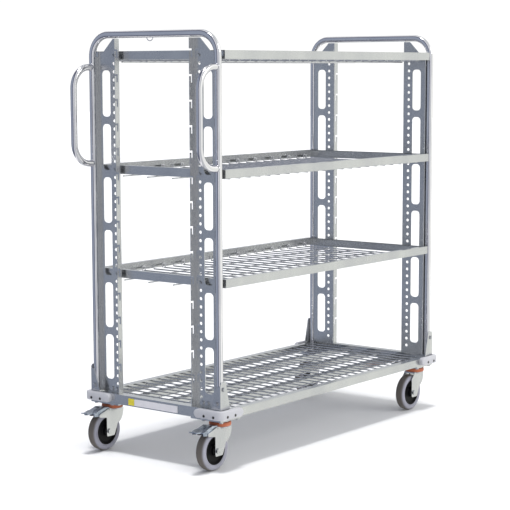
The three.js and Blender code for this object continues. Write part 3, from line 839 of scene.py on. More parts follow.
@dataclass
class Workshop:
    """What every sub-assembly works with: the palette, the trees and the names of finished pieces."""

    palette: Palette = field(default_factory=Palette)
    plates: PlateGrower = field(default_factory=PlateGrower)
    wires: WireGrower = field(default_factory=WireGrower)
    bolts: BoltGrower = field(default_factory=BoltGrower)

    def finish(
        self, name: str, mesh: bpy.types.Mesh, body: str, slot: Slot, nodes: Sequence[str] = ()
    ) -> bpy.types.Object:
        """Adds a finished piece to the trolley.

        Args:
            name: The piece's name.
            mesh: Its mesh, in place.
            body: The CAD body that it rides on.
            slot: The record slot of its finish.
            nodes: The CAD nodes that it stands for.

        Returns:
            The piece.
        """
        mesh.name = name
        if not mesh.materials:
            mesh.materials.append(self.palette.of(slot))
        piece = mesh_object(name, mesh)
        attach(piece, body)
        if nodes:
            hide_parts(*nodes)
        log.info("%s: %d faces on %s", name, len(mesh.polygons), body)
        return piece

    def dress(self, nodes: dict, name: str, slot: Slot) -> None:
        """Gives a CAD node that stays its finish.

        Args:
            nodes: The frame's nodes.
            name: The node's name.
            slot: The record slot of its finish.
        """
        materials = nodes[name].data.materials
        materials.clear()
        materials.append(self.palette.of(slot))
        log.info("%s keeps its CAD shape", name)

    def plate(
        self,
        name: str,
        outline: Sequence[Point2],
        thickness: float,
        lay: Lay,
        start: float,
        slot: Slot,
        holes: Row = Row(),
        slots: Row = Row(),
    ) -> bpy.types.Mesh:
        """Cuts a plate and lays it in the trolley's frame.

        Args:
            name: The mesh's name.
            outline: The plate's outline, in its own plane.
            thickness: How thick it is.
            lay: Which plane it lies in.
            start: Where its lower face is, across that plane.
            slot: The slot of its material.
            holes: Its round holes.
            slots: Its long slots.

        Returns:
            The plate's mesh, in place.
        """
        values = {
            "Thickness": thickness,
            "Hole Radius": holes.width / 2,
            "Hole Count": holes.count,
            "Hole Pitch": holes.pitch,
            "Hole Origin": holes.origin,
            "Slot Width": slots.width,
            "Slot Length": slots.length,
            "Slot Corner": slots.corner,
            "Slot Count": slots.count,
            "Slot Pitch": slots.pitch,
            "Slot Origin": slots.origin,
            "Material": self.palette.of(slot),
        }
        mesh = self.plates.grow(name, edge_mesh(name, outline, True), values)
        turn = {
            Lay.ACROSS: Matrix(((0, 0, 1, start), (1, 0, 0, 0), (0, 1, 0, 0), (0, 0, 0, 1))),
            Lay.ALONG: Matrix(((1, 0, 0, 0), (0, 0, 1, start), (0, 1, 0, 0), (0, 0, 0, 1))),
            Lay.LEVEL: Matrix.Translation((0, 0, start)),
        }[lay]
        mesh.transform(turn)
        return tidy_mesh(mesh)

    def bolt_set(self, name: str, places: Sequence, finish: Finish, **sizes: float) -> bpy.types.Mesh:
        """Sets bolts at places, each a point and the direction that its head faces.

        Args:
            name: The mesh's name.
            places: The points and directions.
            finish: The bolts' finish.
            sizes: The bolt's sizes: sides, head, height, washer and rise.

        Returns:
            One mesh of all the bolts.
        """
        base = bpy.data.meshes.new(name)
        base.from_pydata([tuple(point) for point, _ in places], [], [])
        axis = base.attributes.new("Axis", "FLOAT_VECTOR", "POINT")
        axis.data.foreach_set("vector", [float(v) for _, facing in places for v in facing])
        values = {
            "Head Sides": sizes.get("sides", 6),
            "Head Radius": sizes.get("head", 6.5 * MM),
            "Head Height": sizes.get("height", 4 * MM),
            "Washer Radius": sizes.get("washer", 8 * MM),
            "Washer Height": sizes.get("rise", 1.2 * MM),
            "Material": self.palette.make(finish),
        }
        return self.bolts.grow(name, base, values)


def corner_names() -> list[tuple[str, int, int]]:
    """Gives the four corners' names with their signs along X and Y."""
    return [
        (f"{depth}_{end}", x, y)
        for depth, y in (("front", -1), ("back", 1))
        for end, x in (("left", -1), ("right", 1))
    ]


def middle_of(*nodes: str) -> Vector:
    """Gives the middle of the box round some CAD nodes.

    Args:
        nodes: The nodes' names.

    Returns:
        The middle.
    """
    lows, highs = zip(*(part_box(node) for node in nodes))
    low = Vector([min(v[i] for v in lows) for i in range(3)])
    high = Vector([max(v[i] for v in highs) for i in range(3)])
    return (low + high) / 2


# ---- Sub-assemblies ----


@dataclass
class TubeWork:
    """The two hoops, the two side handles, their welds and the small wire hook."""

    shop: Workshop
    hoop_bend: float = 66 * MM
    handle_bend: float = 65 * MM
    bend_steps: int = 14
    weld: float = 1.6 * MM
    weld_saddle: float = 3 * MM
    hook_radius: float = 1.5 * MM

    def build(self) -> None:
        """Builds every tube."""
        for node in ("hoop_left", "hoop_right"):
            self.hoop(node)
        for node in ("handle_front", "handle_back"):
            self.handle(node)
        self.hook()

    def hoop(self, node: str) -> None:
        """Bends one hoop."""
        low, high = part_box(node)
        radius = (high.x - low.x) / 2
        x = (low.x + high.x) / 2
        y = high.y - radius
        line = [Vector((x, -y, low.z)), Vector((x, -y, high.z - radius))]
        line += [Vector((x, y, high.z - radius)), Vector((x, y, low.z))]
        route = rounded_route(line, self.hoop_bend, self.bend_steps)
        self.shop.finish(node + "_tube", swept(node, route, radius, 28), "frame", Slot.TUBE, [node])

    def handle(self, node: str) -> None:
        """Bends one handle, with a weld bead where each end meets the hoop leg."""
        low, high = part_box(node)
        radius = (high.y - low.y) / 2
        y = (low.y + high.y) / 2
        outer = low.x + radius
        levels = (high.z - radius, low.z + radius)
        root = high.x + 2 * MM
        line = [Vector((root, y, levels[0])), Vector((outer, y, levels[0]))]
        line += [Vector((outer, y, levels[1])), Vector((root, y, levels[1]))]
        route = rounded_route(line, self.handle_bend, self.bend_steps)
        meshes = [swept(node, route, radius, 26)]
        for z in levels:
            turns = [2 * math.pi * k / 32 for k in range(33)]
            ring = [Vector((high.x, y, z)) + radius * Vector((0, math.cos(a), math.sin(a))) for a in turns]
            for point in ring:
                point.x += self.weld_saddle * abs(point.y - y) / radius
            meshes.append(swept(node + "_weld", ring, self.weld, 8))
        self.shop.finish(node + "_tube", joined(node, meshes), "frame", Slot.TUBE, [node])

    def hook(self) -> None:
        """Bends the small hook under the left hoop's bar."""
        low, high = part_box("wire_hook")
        radius = self.hook_radius
        x = (low.x + high.x) / 2
        near, far = low.y + radius, high.y - radius
        bend = (far - near) / 2
        middle = Vector((x, (near + far) / 2, low.z + radius + bend))
        turns = [math.radians(angle) for angle in range(180, 391, 15)]
        route = [Vector((x, near, high.z))]
        route += [middle + bend * Vector((0, math.cos(turn), math.sin(turn))) for turn in turns]
        self.shop.finish("hook_wire", swept("hook", route, radius, 12), "frame", Slot.TUBE, ["wire_hook"])


@dataclass
class Upright:
    """One perforated upright: a channel folded from sheet, with pin holes, long slots and hook notches."""

    shop: Workshop
    name: str
    along: int
    across: int
    wall: float = 2 * MM
    fold: float = 3 * MM
    inner_flange: float = 20 * MM
    outer_flange: float = 12 * MM
    head_width: float = 26 * MM
    shoulder_drop: float = 39.5 * MM
    shoulder_width: float = 25 * MM
    bend_drop: float = 15 * MM
    hole: float = 10 * MM
    hole_pitch: float = 25 * MM
    first_hole: float = 27.1 * MM
    hole_count: int = 42
    slot_width: float = 34 * MM
    slot_length: float = 142 * MM
    slot_corner: float = 12.5 * MM
    slot_inset: float = 55 * MM
    slot_pitch: float = 165 * MM
    slot_count: int = 6
    first_slot: float = 12.5 * MM
    notch_pitch: float = 75 * MM
    notch_count: int = 14
    first_notch: float = 65 * MM
    notch_opening: float = 6 * MM
    notch_depth: float = 13 * MM
    notch_drop: float = 22 * MM

    def build(self) -> None:
        """Folds the upright."""
        node = "upright_" + self.name
        self.low, self.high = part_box(node)
        flip = Matrix.Diagonal((self.along, self.across, 1, 1))
        self.x_in = min(abs(self.low.x), abs(self.high.x)) if self.along > 0 else -self.high.x
        self.y_in = min(abs(self.low.y), abs(self.high.y))
        self.y_out = max(abs(self.low.y), abs(self.high.y))
        meshes = [self.web(), self.hook_flange(), self.tube_flange(), *self.folds()]
        for mesh in meshes:
            mesh.transform(flip)
            tidy_mesh(mesh)
        self.shop.finish(node + "_channel", joined(node, meshes), "frame", Slot.SHEET, [node])

    def hole_z(self, step: int) -> float:
        """Gives the height of a pin hole, counted from the lowest."""
        return self.low.z + self.first_hole + step * self.hole_pitch

    def web(self) -> bpy.types.Mesh:
        """Cuts the flat web."""
        bottom, top = self.low.z, self.high.z
        shoulder = top - self.shoulder_drop
        inner, outer = self.y_in + self.fold, self.y_out - self.fold
        outline = [
            (inner, bottom),
            (outer, bottom),
            (outer, shoulder - 2 * MM),
            (outer - 1 * MM, shoulder),
            (self.y_out - self.shoulder_width, shoulder),
            (self.y_in + self.head_width, top),
            (inner, top),
        ]
        lowest = (self.y_in + PIN_HOLE_INSET, self.hole_z(0), 0)
        holes = Row(self.hole_count, lowest, (0, self.hole_pitch, 0), self.hole)
        first = self.hole_z(0) + self.first_slot + self.slot_length / 2
        slots = Row(
            self.slot_count,
            (self.y_in + self.slot_inset, first, 0),
            (0, self.slot_pitch, 0),
            self.slot_width,
            self.slot_length,
            self.slot_corner,
        )
        return self.shop.plate("web", outline, self.wall, Lay.ACROSS, self.x_in, Slot.SHEET, holes, slots)

    def hook_flange(self) -> bpy.types.Mesh:
        """Cuts the inner flange, with a hook notch every third hole."""
        edge = self.x_in + self.wall + self.inner_flange
        seat = edge - self.notch_depth
        half = self.notch_opening / 2
        start = self.x_in + self.fold
        outline = [(start, self.high.z), (start, self.low.z), (edge, self.low.z)]
        for step in range(self.notch_count):
            z = self.hole_z(0) + self.first_notch + step * self.notch_pitch
            outline += [
                (edge, z - half),
                (seat + self.notch_opening, z - half),
                (seat + self.notch_opening, z - self.notch_drop),
                (seat, z - self.notch_drop),
                (seat, z + half),
                (edge, z + half),
            ]
        outline.append((edge, self.high.z))
        return self.shop.plate("hook_flange", outline, self.wall, Lay.ALONG, self.y_in, Slot.SHEET)

    def tube_flange(self) -> bpy.types.Mesh:
        """Cuts the plain flange beside the hoop's leg."""
        start, end = self.x_in + self.fold, self.x_in + self.wall + self.outer_flange
        top = self.high.z - self.shoulder_drop - self.bend_drop
        outline = [(start, self.low.z), (end, self.low.z), (end, top), (start, top)]
        near = self.y_out - self.wall
        return self.shop.plate("tube_flange", outline, self.wall, Lay.ALONG, near, Slot.SHEET)

    def folds(self) -> list[bpy.types.Mesh]:
        """Makes the two rounded folds between the web and the flanges."""
        made = []
        tops = (self.high.z, self.high.z - self.shoulder_drop - self.bend_drop)
        for edge, inward, top in ((self.y_in, 1, tops[0]), (self.y_out, -1, tops[1])):
            centre = (self.x_in + self.fold, edge + inward * self.fold)
            arc = [math.pi / 2 * k / 5 for k in range(6)]
            ring = [(self.fold, a) for a in arc] + [(self.fold - self.wall, a) for a in reversed(arc)]
            outline = [(centre[0] - r * math.cos(a), centre[1] - inward * r * math.sin(a)) for r, a in ring]
            height = top - self.low.z
            made.append(self.shop.plate("fold", outline, height, Lay.LEVEL, self.low.z, Slot.SHEET))
        return made


@dataclass
class BaseFrame:
    """The base: rails, deck, bearers, foot brackets, bumpers, label and every fastener."""

    shop: Workshop
    nodes: dict
    wire: float = 4.5 * MM
    deck_pitch: float = 39.2 * MM
    deck_runners: Sequence[float] = (-187.5 * MM, -62.5 * MM, 62.5 * MM, 187.5 * MM)
    bumper_corner: float = 20 * MM
    bumper_wall: float = 13.6 * MM
    yellow_width: float = 24 * MM
    film_gap: float = 1 * MM

    def build(self) -> None:
        """Builds the base."""
        for node in ("side_rail_front", "side_rail_back", "end_rail_left", "end_rail_right"):
            self.shop.dress(self.nodes, node, Slot.SHEET)
        for node in ("deck_bearer_front", "deck_bearer_middle", "deck_bearer_back"):
            self.shop.dress(self.nodes, node, Slot.SHEET)
        self.deck()
        for name, along, across in corner_names():
            self.bracket(name)
            self.bumper(name, along, across)
            self.shop.dress(self.nodes, "castor_plate_" + name, Slot.SHEET)
        self.label()
        self.fasteners()

    def deck(self) -> None:
        """Welds the deck's wire grid."""
        low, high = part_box("deck_grid")
        count = round((high.x - low.x) / self.deck_pitch) + 1
        radius = self.wire / 2
        z = high.z - radius
        base = edge_mesh("deck_wire", [(low.x + radius, low.y, z), (low.x + radius, high.y, z)], False)
        values = {
            "Wire Radius": radius,
            "Bend Radius": 0.001,
            "Count": count,
            "Pitch": (self.deck_pitch, 0, 0),
            "Runner Start": (low.x, self.deck_runners[0], z - self.wire),
            "Runner End": (high.x, self.deck_runners[0], z - self.wire),
            "Runner Count": len(self.deck_runners),
            "Runner Pitch": (0, self.deck_runners[1] - self.deck_runners[0], 0),
            "Material": self.shop.palette.of(Slot.WIRE),
        }
        mesh = self.shop.wires.grow("deck", base, values)
        self.shop.finish("deck_wires", mesh, "frame", Slot.WIRE, ["deck_grid"])

    def bracket(self, name: str) -> None:
        """Rounds the edges of a foot bracket's two plates."""
        node = "foot_bracket_" + name
        mesh = self.nodes[node].data.copy()
        mesh.materials.clear()
        mesh = bevelled(merged_flat(mesh), 0.7 * MM)
        self.shop.finish(node + "_angle", mesh, "frame", Slot.SHEET, [node])

    def bumper(self, name: str, along: int, across: int) -> None:
        """Moulds one corner bumper, with a round corner and round ends.

        Args:
            name: The corner's name.
            along: The corner's sign along X.
            across: The corner's sign along Y.
        """
        node = "bumper_" + name
        low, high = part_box(node)
        reach_x = sorted((abs(low.x - middle_x()), abs(high.x - middle_x())))
        reach_y = sorted((abs(low.y), abs(high.y)))
        inner, outer = (Vector(ends) for ends in zip(reach_x, reach_y))
        mesh = bumper_mesh(node, inner, outer, self.bumper_wall, low.z, high.z, self.bumper_corner)
        mesh.transform(Matrix.Translation((middle_x(), 0, 0)) @ Matrix.Diagonal((along, across, 1, 1)))
        self.shop.finish(node + "_moulding", tidy_mesh(mesh, 50), "frame", Slot.BUMPER, [node])

    def label(self) -> None:
        """Sticks two plain patches of film, one yellow and one white, on the left end rail."""
        low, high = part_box("label_plate")
        split = high.y - self.yellow_width
        for name, start, end, finish in (
            ("label_white", low.y, split - self.film_gap, FINISHES[Slot.LABEL]),
            ("label_yellow", split, high.y, YELLOW_FILM),
        ):
            corners = [(start, low.z), (end, low.z), (end, high.z), (start, high.z)]
            outline = rounded_outline(corners, 2 * MM)
            mesh = self.shop.plate(name, outline, high.x - low.x, Lay.ACROSS, low.x, Slot.LABEL)
            mesh.materials.clear()
            mesh.materials.append(self.shop.palette.make(finish))
            self.shop.finish(name, mesh, "frame", Slot.LABEL, ["label_plate"])

    def fasteners(self) -> None:
        """Sets the bracket bolts, the uprights' foot bolts, the bumper screws and the castor bolts."""
        zinc = FINISHES[Slot.WIRE]
        bolts, screws, plates = [], [], []
        for name, along, across in corner_names():
            low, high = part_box("foot_bracket_" + name)
            face_x = high.x if along > 0 else low.x
            face_y = high.y if across > 0 else low.y
            bolts.append(((face_x - along * 14 * MM, face_y, high.z - 21 * MM), (0, across, 0)))
            bolts.append(((face_x, face_y - across * 16 * MM, low.z + 47 * MM), (along, 0, 0)))
            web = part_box("upright_" + name)
            web_x = web[0].x + 2 * MM if along > 0 else web[1].x - 2 * MM
            web_y = min(abs(web[0].y), abs(web[1].y))
            for inset in (27 * MM, 46 * MM):
                bolts.append(((web_x, across * (web_y + inset), web[0].z + 10 * MM), (along, 0, 0)))
            low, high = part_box("bumper_" + name)
            outer_x = high.x if along > 0 else low.x
            outer_y = high.y if across > 0 else low.y
            z = (low.z + high.z) / 2 - 5 * MM
            for back in (31 * MM, 68 * MM):
                screws.append(((outer_x - along * back, outer_y, z), (0, across, 0)))
                screws.append(((outer_x, outer_y - across * back, z), (along, 0, 0)))
            low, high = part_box("castor_plate_" + name)
            centre = middle_of("castor_seal_" + name)
            bottom = high.z - 5 * MM
            for dx in (-38 * MM, 38 * MM):
                for dy in (-35 * MM, 33 * MM):
                    plates.append(((centre.x + dx, centre.y + dy, bottom), (0, 0, -1)))
        self._set("frame_bolts", bolts, zinc)
        screw = {"sides": 12, "head": 3.6 * MM, "height": 0.7 * MM, "washer": 4.4 * MM, "rise": 0.3 * MM}
        self._set("bumper_screws", screws, DARK_STEEL, **screw)
        self._set("castor_bolts", plates, zinc, head=6 * MM)

    def _set(self, name: str, places: list, finish: Finish, **sizes: float) -> None:
        """Adds one set of bolts."""
        self.shop.finish(name, self.shop.bolt_set(name, places, finish, **sizes), "frame", Slot.WIRE)


def middle_x() -> float:
    """Gives the middle of the trolley's frame along X, between the two hoops."""
    return middle_of("hoop_left", "hoop_right").x


def merged_flat(mesh: bpy.types.Mesh) -> bpy.types.Mesh:
    """Merges a copy of a CAD mesh and joins its flat faces.

    Args:
        mesh: A copy of a CAD node's mesh.

    Returns:
        The same mesh, merged.
    """
    work = bmesh.new()
    work.from_mesh(mesh)
    bmesh.ops.remove_doubles(work, verts=work.verts, dist=1e-5)
    bmesh.ops.dissolve_limit(work, angle_limit=math.radians(1), verts=work.verts, edges=work.edges)
    bmesh.ops.recalc_face_normals(work, faces=work.faces)
    work.to_mesh(mesh)
    work.free()
    return mesh


def bumper_mesh(
    name: str, inner: Vector, outer: Vector, wall: float, low: float, high: float, corner: float
) -> bpy.types.Mesh:
    """Lofts a bumper round a corner, from one round end to the other.

    Args:
        name: The mesh's name.
        inner: How near the ends of the arms come to the middle, along X and Y.
        outer: How far the bumper stands out, along X and Y.
        wall: How thick it is.
        low: The height of its lower edge.
        high: The height of its upper edge.
        corner: The radius of its outer corner.

    Returns:
        The bumper's mesh, for the corner where X and Y are positive.
    """
    half = (high - low) / 2
    middle = (high + low) / 2
    soft = 2.5 * MM
    stations: list[tuple[Vector, Vector, float]] = []
    steps = 8
    for k in range(1, steps + 1):
        angle = math.pi / 2 * k / steps
        at = inner.x + half * (1 - math.cos(angle))
        stations.append((Vector((at, outer.y)), Vector((0, -1)), half * math.sin(angle)))
    for k in range(steps + 1):
        angle = math.pi / 2 * (1 - k / steps)
        normal = Vector((math.cos(angle), math.sin(angle)))
        centre = Vector((outer.x - corner, outer.y - corner))
        stations.append((centre + corner * normal, -normal, half))
    for k in range(steps, 0, -1):
        angle = math.pi / 2 * k / steps
        at = inner.y + half * (1 - math.cos(angle))
        stations.append((Vector((outer.x, at)), Vector((-1, 0)), half * math.sin(angle)))
    vertices, faces = [], []
    for point, inward, reach in stations:
        edge = min(soft, reach * 0.6)
        ring = [(wall, -reach), (edge, -reach), (edge * 0.3, -reach + edge * 0.3), (0, -reach + edge)]
        ring += [(depth, -height) for depth, height in reversed(ring)]
        for depth, height in ring:
            place = point + inward * depth
            vertices.append((place.x, place.y, middle + height))
    count = len(ring)
    for s in range(len(stations) - 1):
        for k in range(count):
            near, far = s * count + k, s * count + (k + 1) % count
            faces.append((near, far, far + count, near + count))
    faces.append(tuple(range(count)))
    faces.append(tuple(range(len(vertices) - count, len(vertices))))
    return mesh_of(name, vertices, faces)


@dataclass
class Shelf:
    """One hung shelf: a channel rim with windows in its inner skirts, and a grid of bent wires."""

    shop: Workshop
    name: str
    rim_width: float = 16 * MM
    rim_wall: float = 1.5 * MM
    tab: float = 18 * MM
    tab_reach: float = 8.4 * MM
    pin: float = 6 * MM
    pin_drop: float = 14.4 * MM
    wire: float = 4.5 * MM
    pitch: float = 49.4 * MM
    count: int = 22
    runner_pitch: float = 100 * MM
    window_height: float = 9 * MM
    wire_lift: float = 14 * MM
    hairpin: float = 15 * MM

    def build(self) -> None:
        """Builds the shelf."""
        self.node = f"shelf_{self.name}_rim"
        self.body = "shelf_" + self.name
        low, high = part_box(self.node)
        self.low, self.high = low, high
        self.x_mid = (low.x + high.x) / 2
        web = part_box("upright_front_right")[0].x - 9 * MM
        self.half_x = web - self.x_mid
        self.half_y = high.y
        self.rim()
        self.grid()

    def rim(self) -> None:
        """Folds the rim and hangs its pins."""
        meshes = [*self.long_rails(), *self.end_rails(), *self.pins()]
        self.shop.finish(f"{self.body}_frame", joined(self.node, meshes), self.body, Slot.SHEET, [self.node])

    def long_rails(self) -> list[bpy.types.Mesh]:
        """Folds the front and back rails."""
        made = []
        first = self.x_mid - (self.count / 2 - 1) * self.pitch
        for sign in (-1, 1):
            start, end = self.x_mid - self.half_x, self.x_mid + self.half_x
            full = [(start, self.low.z), (end, self.low.z), (end, self.high.z), (start, self.high.z)]
            outer = self.half_y - self.rim_wall if sign > 0 else -self.half_y
            inner = sign * (self.half_y - self.rim_width)
            windows = Row(
                self.count // 2,
                (first, self.low.z + self.window_height / 2 + 2 * MM, 0),
                (2 * self.pitch, 0, 0),
                self.pitch - 6 * MM,
                self.window_height,
                1.5 * MM,
            )
            skirt = [
                (start + self.rim_width, self.low.z),
                (end - self.rim_width, self.low.z),
                (end - self.rim_width, self.high.z - self.rim_wall),
                (start + self.rim_width, self.high.z - self.rim_wall),
            ]
            near = inner if sign > 0 else inner - self.rim_wall
            made.append(self.sheet("skirt", full, Lay.ALONG, outer))
            made.append(self.sheet("windows", skirt, Lay.ALONG, near, windows))
            span = sorted((sign * (self.half_y - self.rim_wall), inner))
            top = [(start, span[0]), (end, span[0]), (end, span[1]), (start, span[1])]
            made.append(self.sheet("top", top, Lay.LEVEL, self.high.z - self.rim_wall))
        return made

    def sheet(
        self, name: str, outline: Sequence[Point2], lay: Lay, start: float, slots: Row = Row()
    ) -> bpy.types.Mesh:
        """Cuts one strip of the rim's sheet.

        Args:
            name: The mesh's name.
            outline: The strip's outline, in its own plane.
            lay: Which plane it lies in.
            start: Where its lower face is, across that plane.
            slots: Its windows.

        Returns:
            The strip's mesh, in place.
        """
        return self.shop.plate(name, outline, self.rim_wall, lay, start, Slot.SHEET, slots=slots)

    def end_rails(self) -> list[bpy.types.Mesh]:
        """Folds the two short rails."""
        made = []
        for sign in (-1, 1):
            outer_x = self.x_mid + sign * self.half_x
            span_y = self.half_y - self.rim_wall
            back = outer_x - sign * self.rim_width
            reach = self.half_y - self.rim_width
            face_start = outer_x - self.rim_wall if sign > 0 else outer_x
            skirt_start = back if sign > 0 else back - self.rim_wall
            for name, half, start in (("end_face", span_y, face_start), ("end_skirt", reach, skirt_start)):
                low, high = self.low.z, self.high.z
                strip = [(-half, low), (half, low), (half, high), (-half, high)]
                made.append(self.sheet(name, strip, Lay.ACROSS, start))
            span = sorted((outer_x - sign * self.rim_wall, back))
            top = [(span[0], -reach), (span[1], -reach), (span[1], reach), (span[0], reach)]
            made.append(self.sheet("end_top", top, Lay.LEVEL, self.high.z - self.rim_wall))
        return made

    def pins(self) -> list[bpy.types.Mesh]:
        """Makes the four tabs with their hanging pins."""
        made = []
        z = self.high.z - self.pin_drop
        for name, along, across in corner_names():
            web_low, web_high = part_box("upright_" + name)
            y = across * (min(abs(web_low.y), abs(web_high.y)) + PIN_HOLE_INSET)
            face = self.x_mid + along * self.half_x
            half = self.tab / 2
            square = [(y - half, z - half), (y + half, z - half), (y + half, z + half), (y - half, z + half)]
            outline = rounded_outline(square, 3 * MM)
            start = face if along > 0 else face - self.tab_reach
            made.append(self.shop.plate("tab", outline, self.tab_reach, Lay.ACROSS, start, Slot.SHEET))
            end = self.high.x if along > 0 else self.low.x
            route = [Vector((face, y, z)), Vector((end, y, z))]
            made.append(swept("pin", route, self.pin / 2, 14))
            made[-1].materials.append(self.shop.palette.of(Slot.SHEET))
        return made

    def grid(self) -> None:
        """Lays the straight cross wires between the rails, and the runners under them."""
        node = f"shelf_{self.name}_grid"
        low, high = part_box(node)
        radius = self.wire / 2
        x = self.x_mid - (self.count - 1) / 2 * self.pitch
        z = high.z - radius
        reach = self.half_y - self.rim_width - self.rim_wall - radius - 0.5 * MM
        points = [(x, -reach, z), (x, reach, z)]
        values = {
            "Wire Radius": radius,
            "Bend Radius": 5 * MM,
            "Count": self.count,
            "Pitch": (self.pitch, 0, 0),
            "Runner Start": (self.x_mid - self.half_x + 4 * MM, -1.5 * self.runner_pitch, z - self.wire),
            "Runner End": (self.x_mid + self.half_x - 4 * MM, -1.5 * self.runner_pitch, z - self.wire),
            "Runner Count": 4,
            "Runner Pitch": (0, self.runner_pitch, 0),
            "Material": self.shop.palette.of(Slot.WIRE),
        }
        mesh = self.shop.wires.grow(node, edge_mesh(node, points, False), values)
        self.shop.finish(f"{self.body}_wires", mesh, self.body, Slot.WIRE, [node])
        self.ends(x, z, reach)

    def ends(self, x: float, z: float, reach: float) -> None:
        """Turns the cross wires' ends up: every second one as a single end, the others as a hairpin. The
        ends take the bright tube finish as a painted highlight.

        Args:
            x: Where the first wire is.
            z: The height of the wires' centres.
            reach: How far the wires reach along Y from the middle.
        """
        radius = self.wire / 2
        top = z + self.wire_lift
        half = self.hairpin / 2
        meshes = []
        for y in (-reach, reach):
            single = [(x, y, z), (x, y, top)]
            pair = x + self.pitch
            left, right = pair - half, pair + half
            looped = [(left, y, z), (left, y, top), (right, y, top), (right, y, z)]
            for points in (single, looped):
                base = edge_mesh("end", points, False)
                values = {
                    "Wire Radius": radius * 0.8,
                    "Bend Radius": 4 * MM,
                    "Count": self.count // 2,
                    "Pitch": (2 * self.pitch, 0, 0),
                    "Runner Count": 0,
                    # Painted highlight: the ends use the brighter, glossier tube finish instead of the wire
                    # finish, so they show as bright ticks.
                    "Material": self.shop.palette.of(Slot.TUBE),
                }
                meshes.append(self.shop.wires.grow("ends", base, values))
        mesh = joined(f"{self.body}_ends", meshes)
        self.shop.finish(f"{self.body}_wire_ends", mesh, self.body, Slot.WIRE)


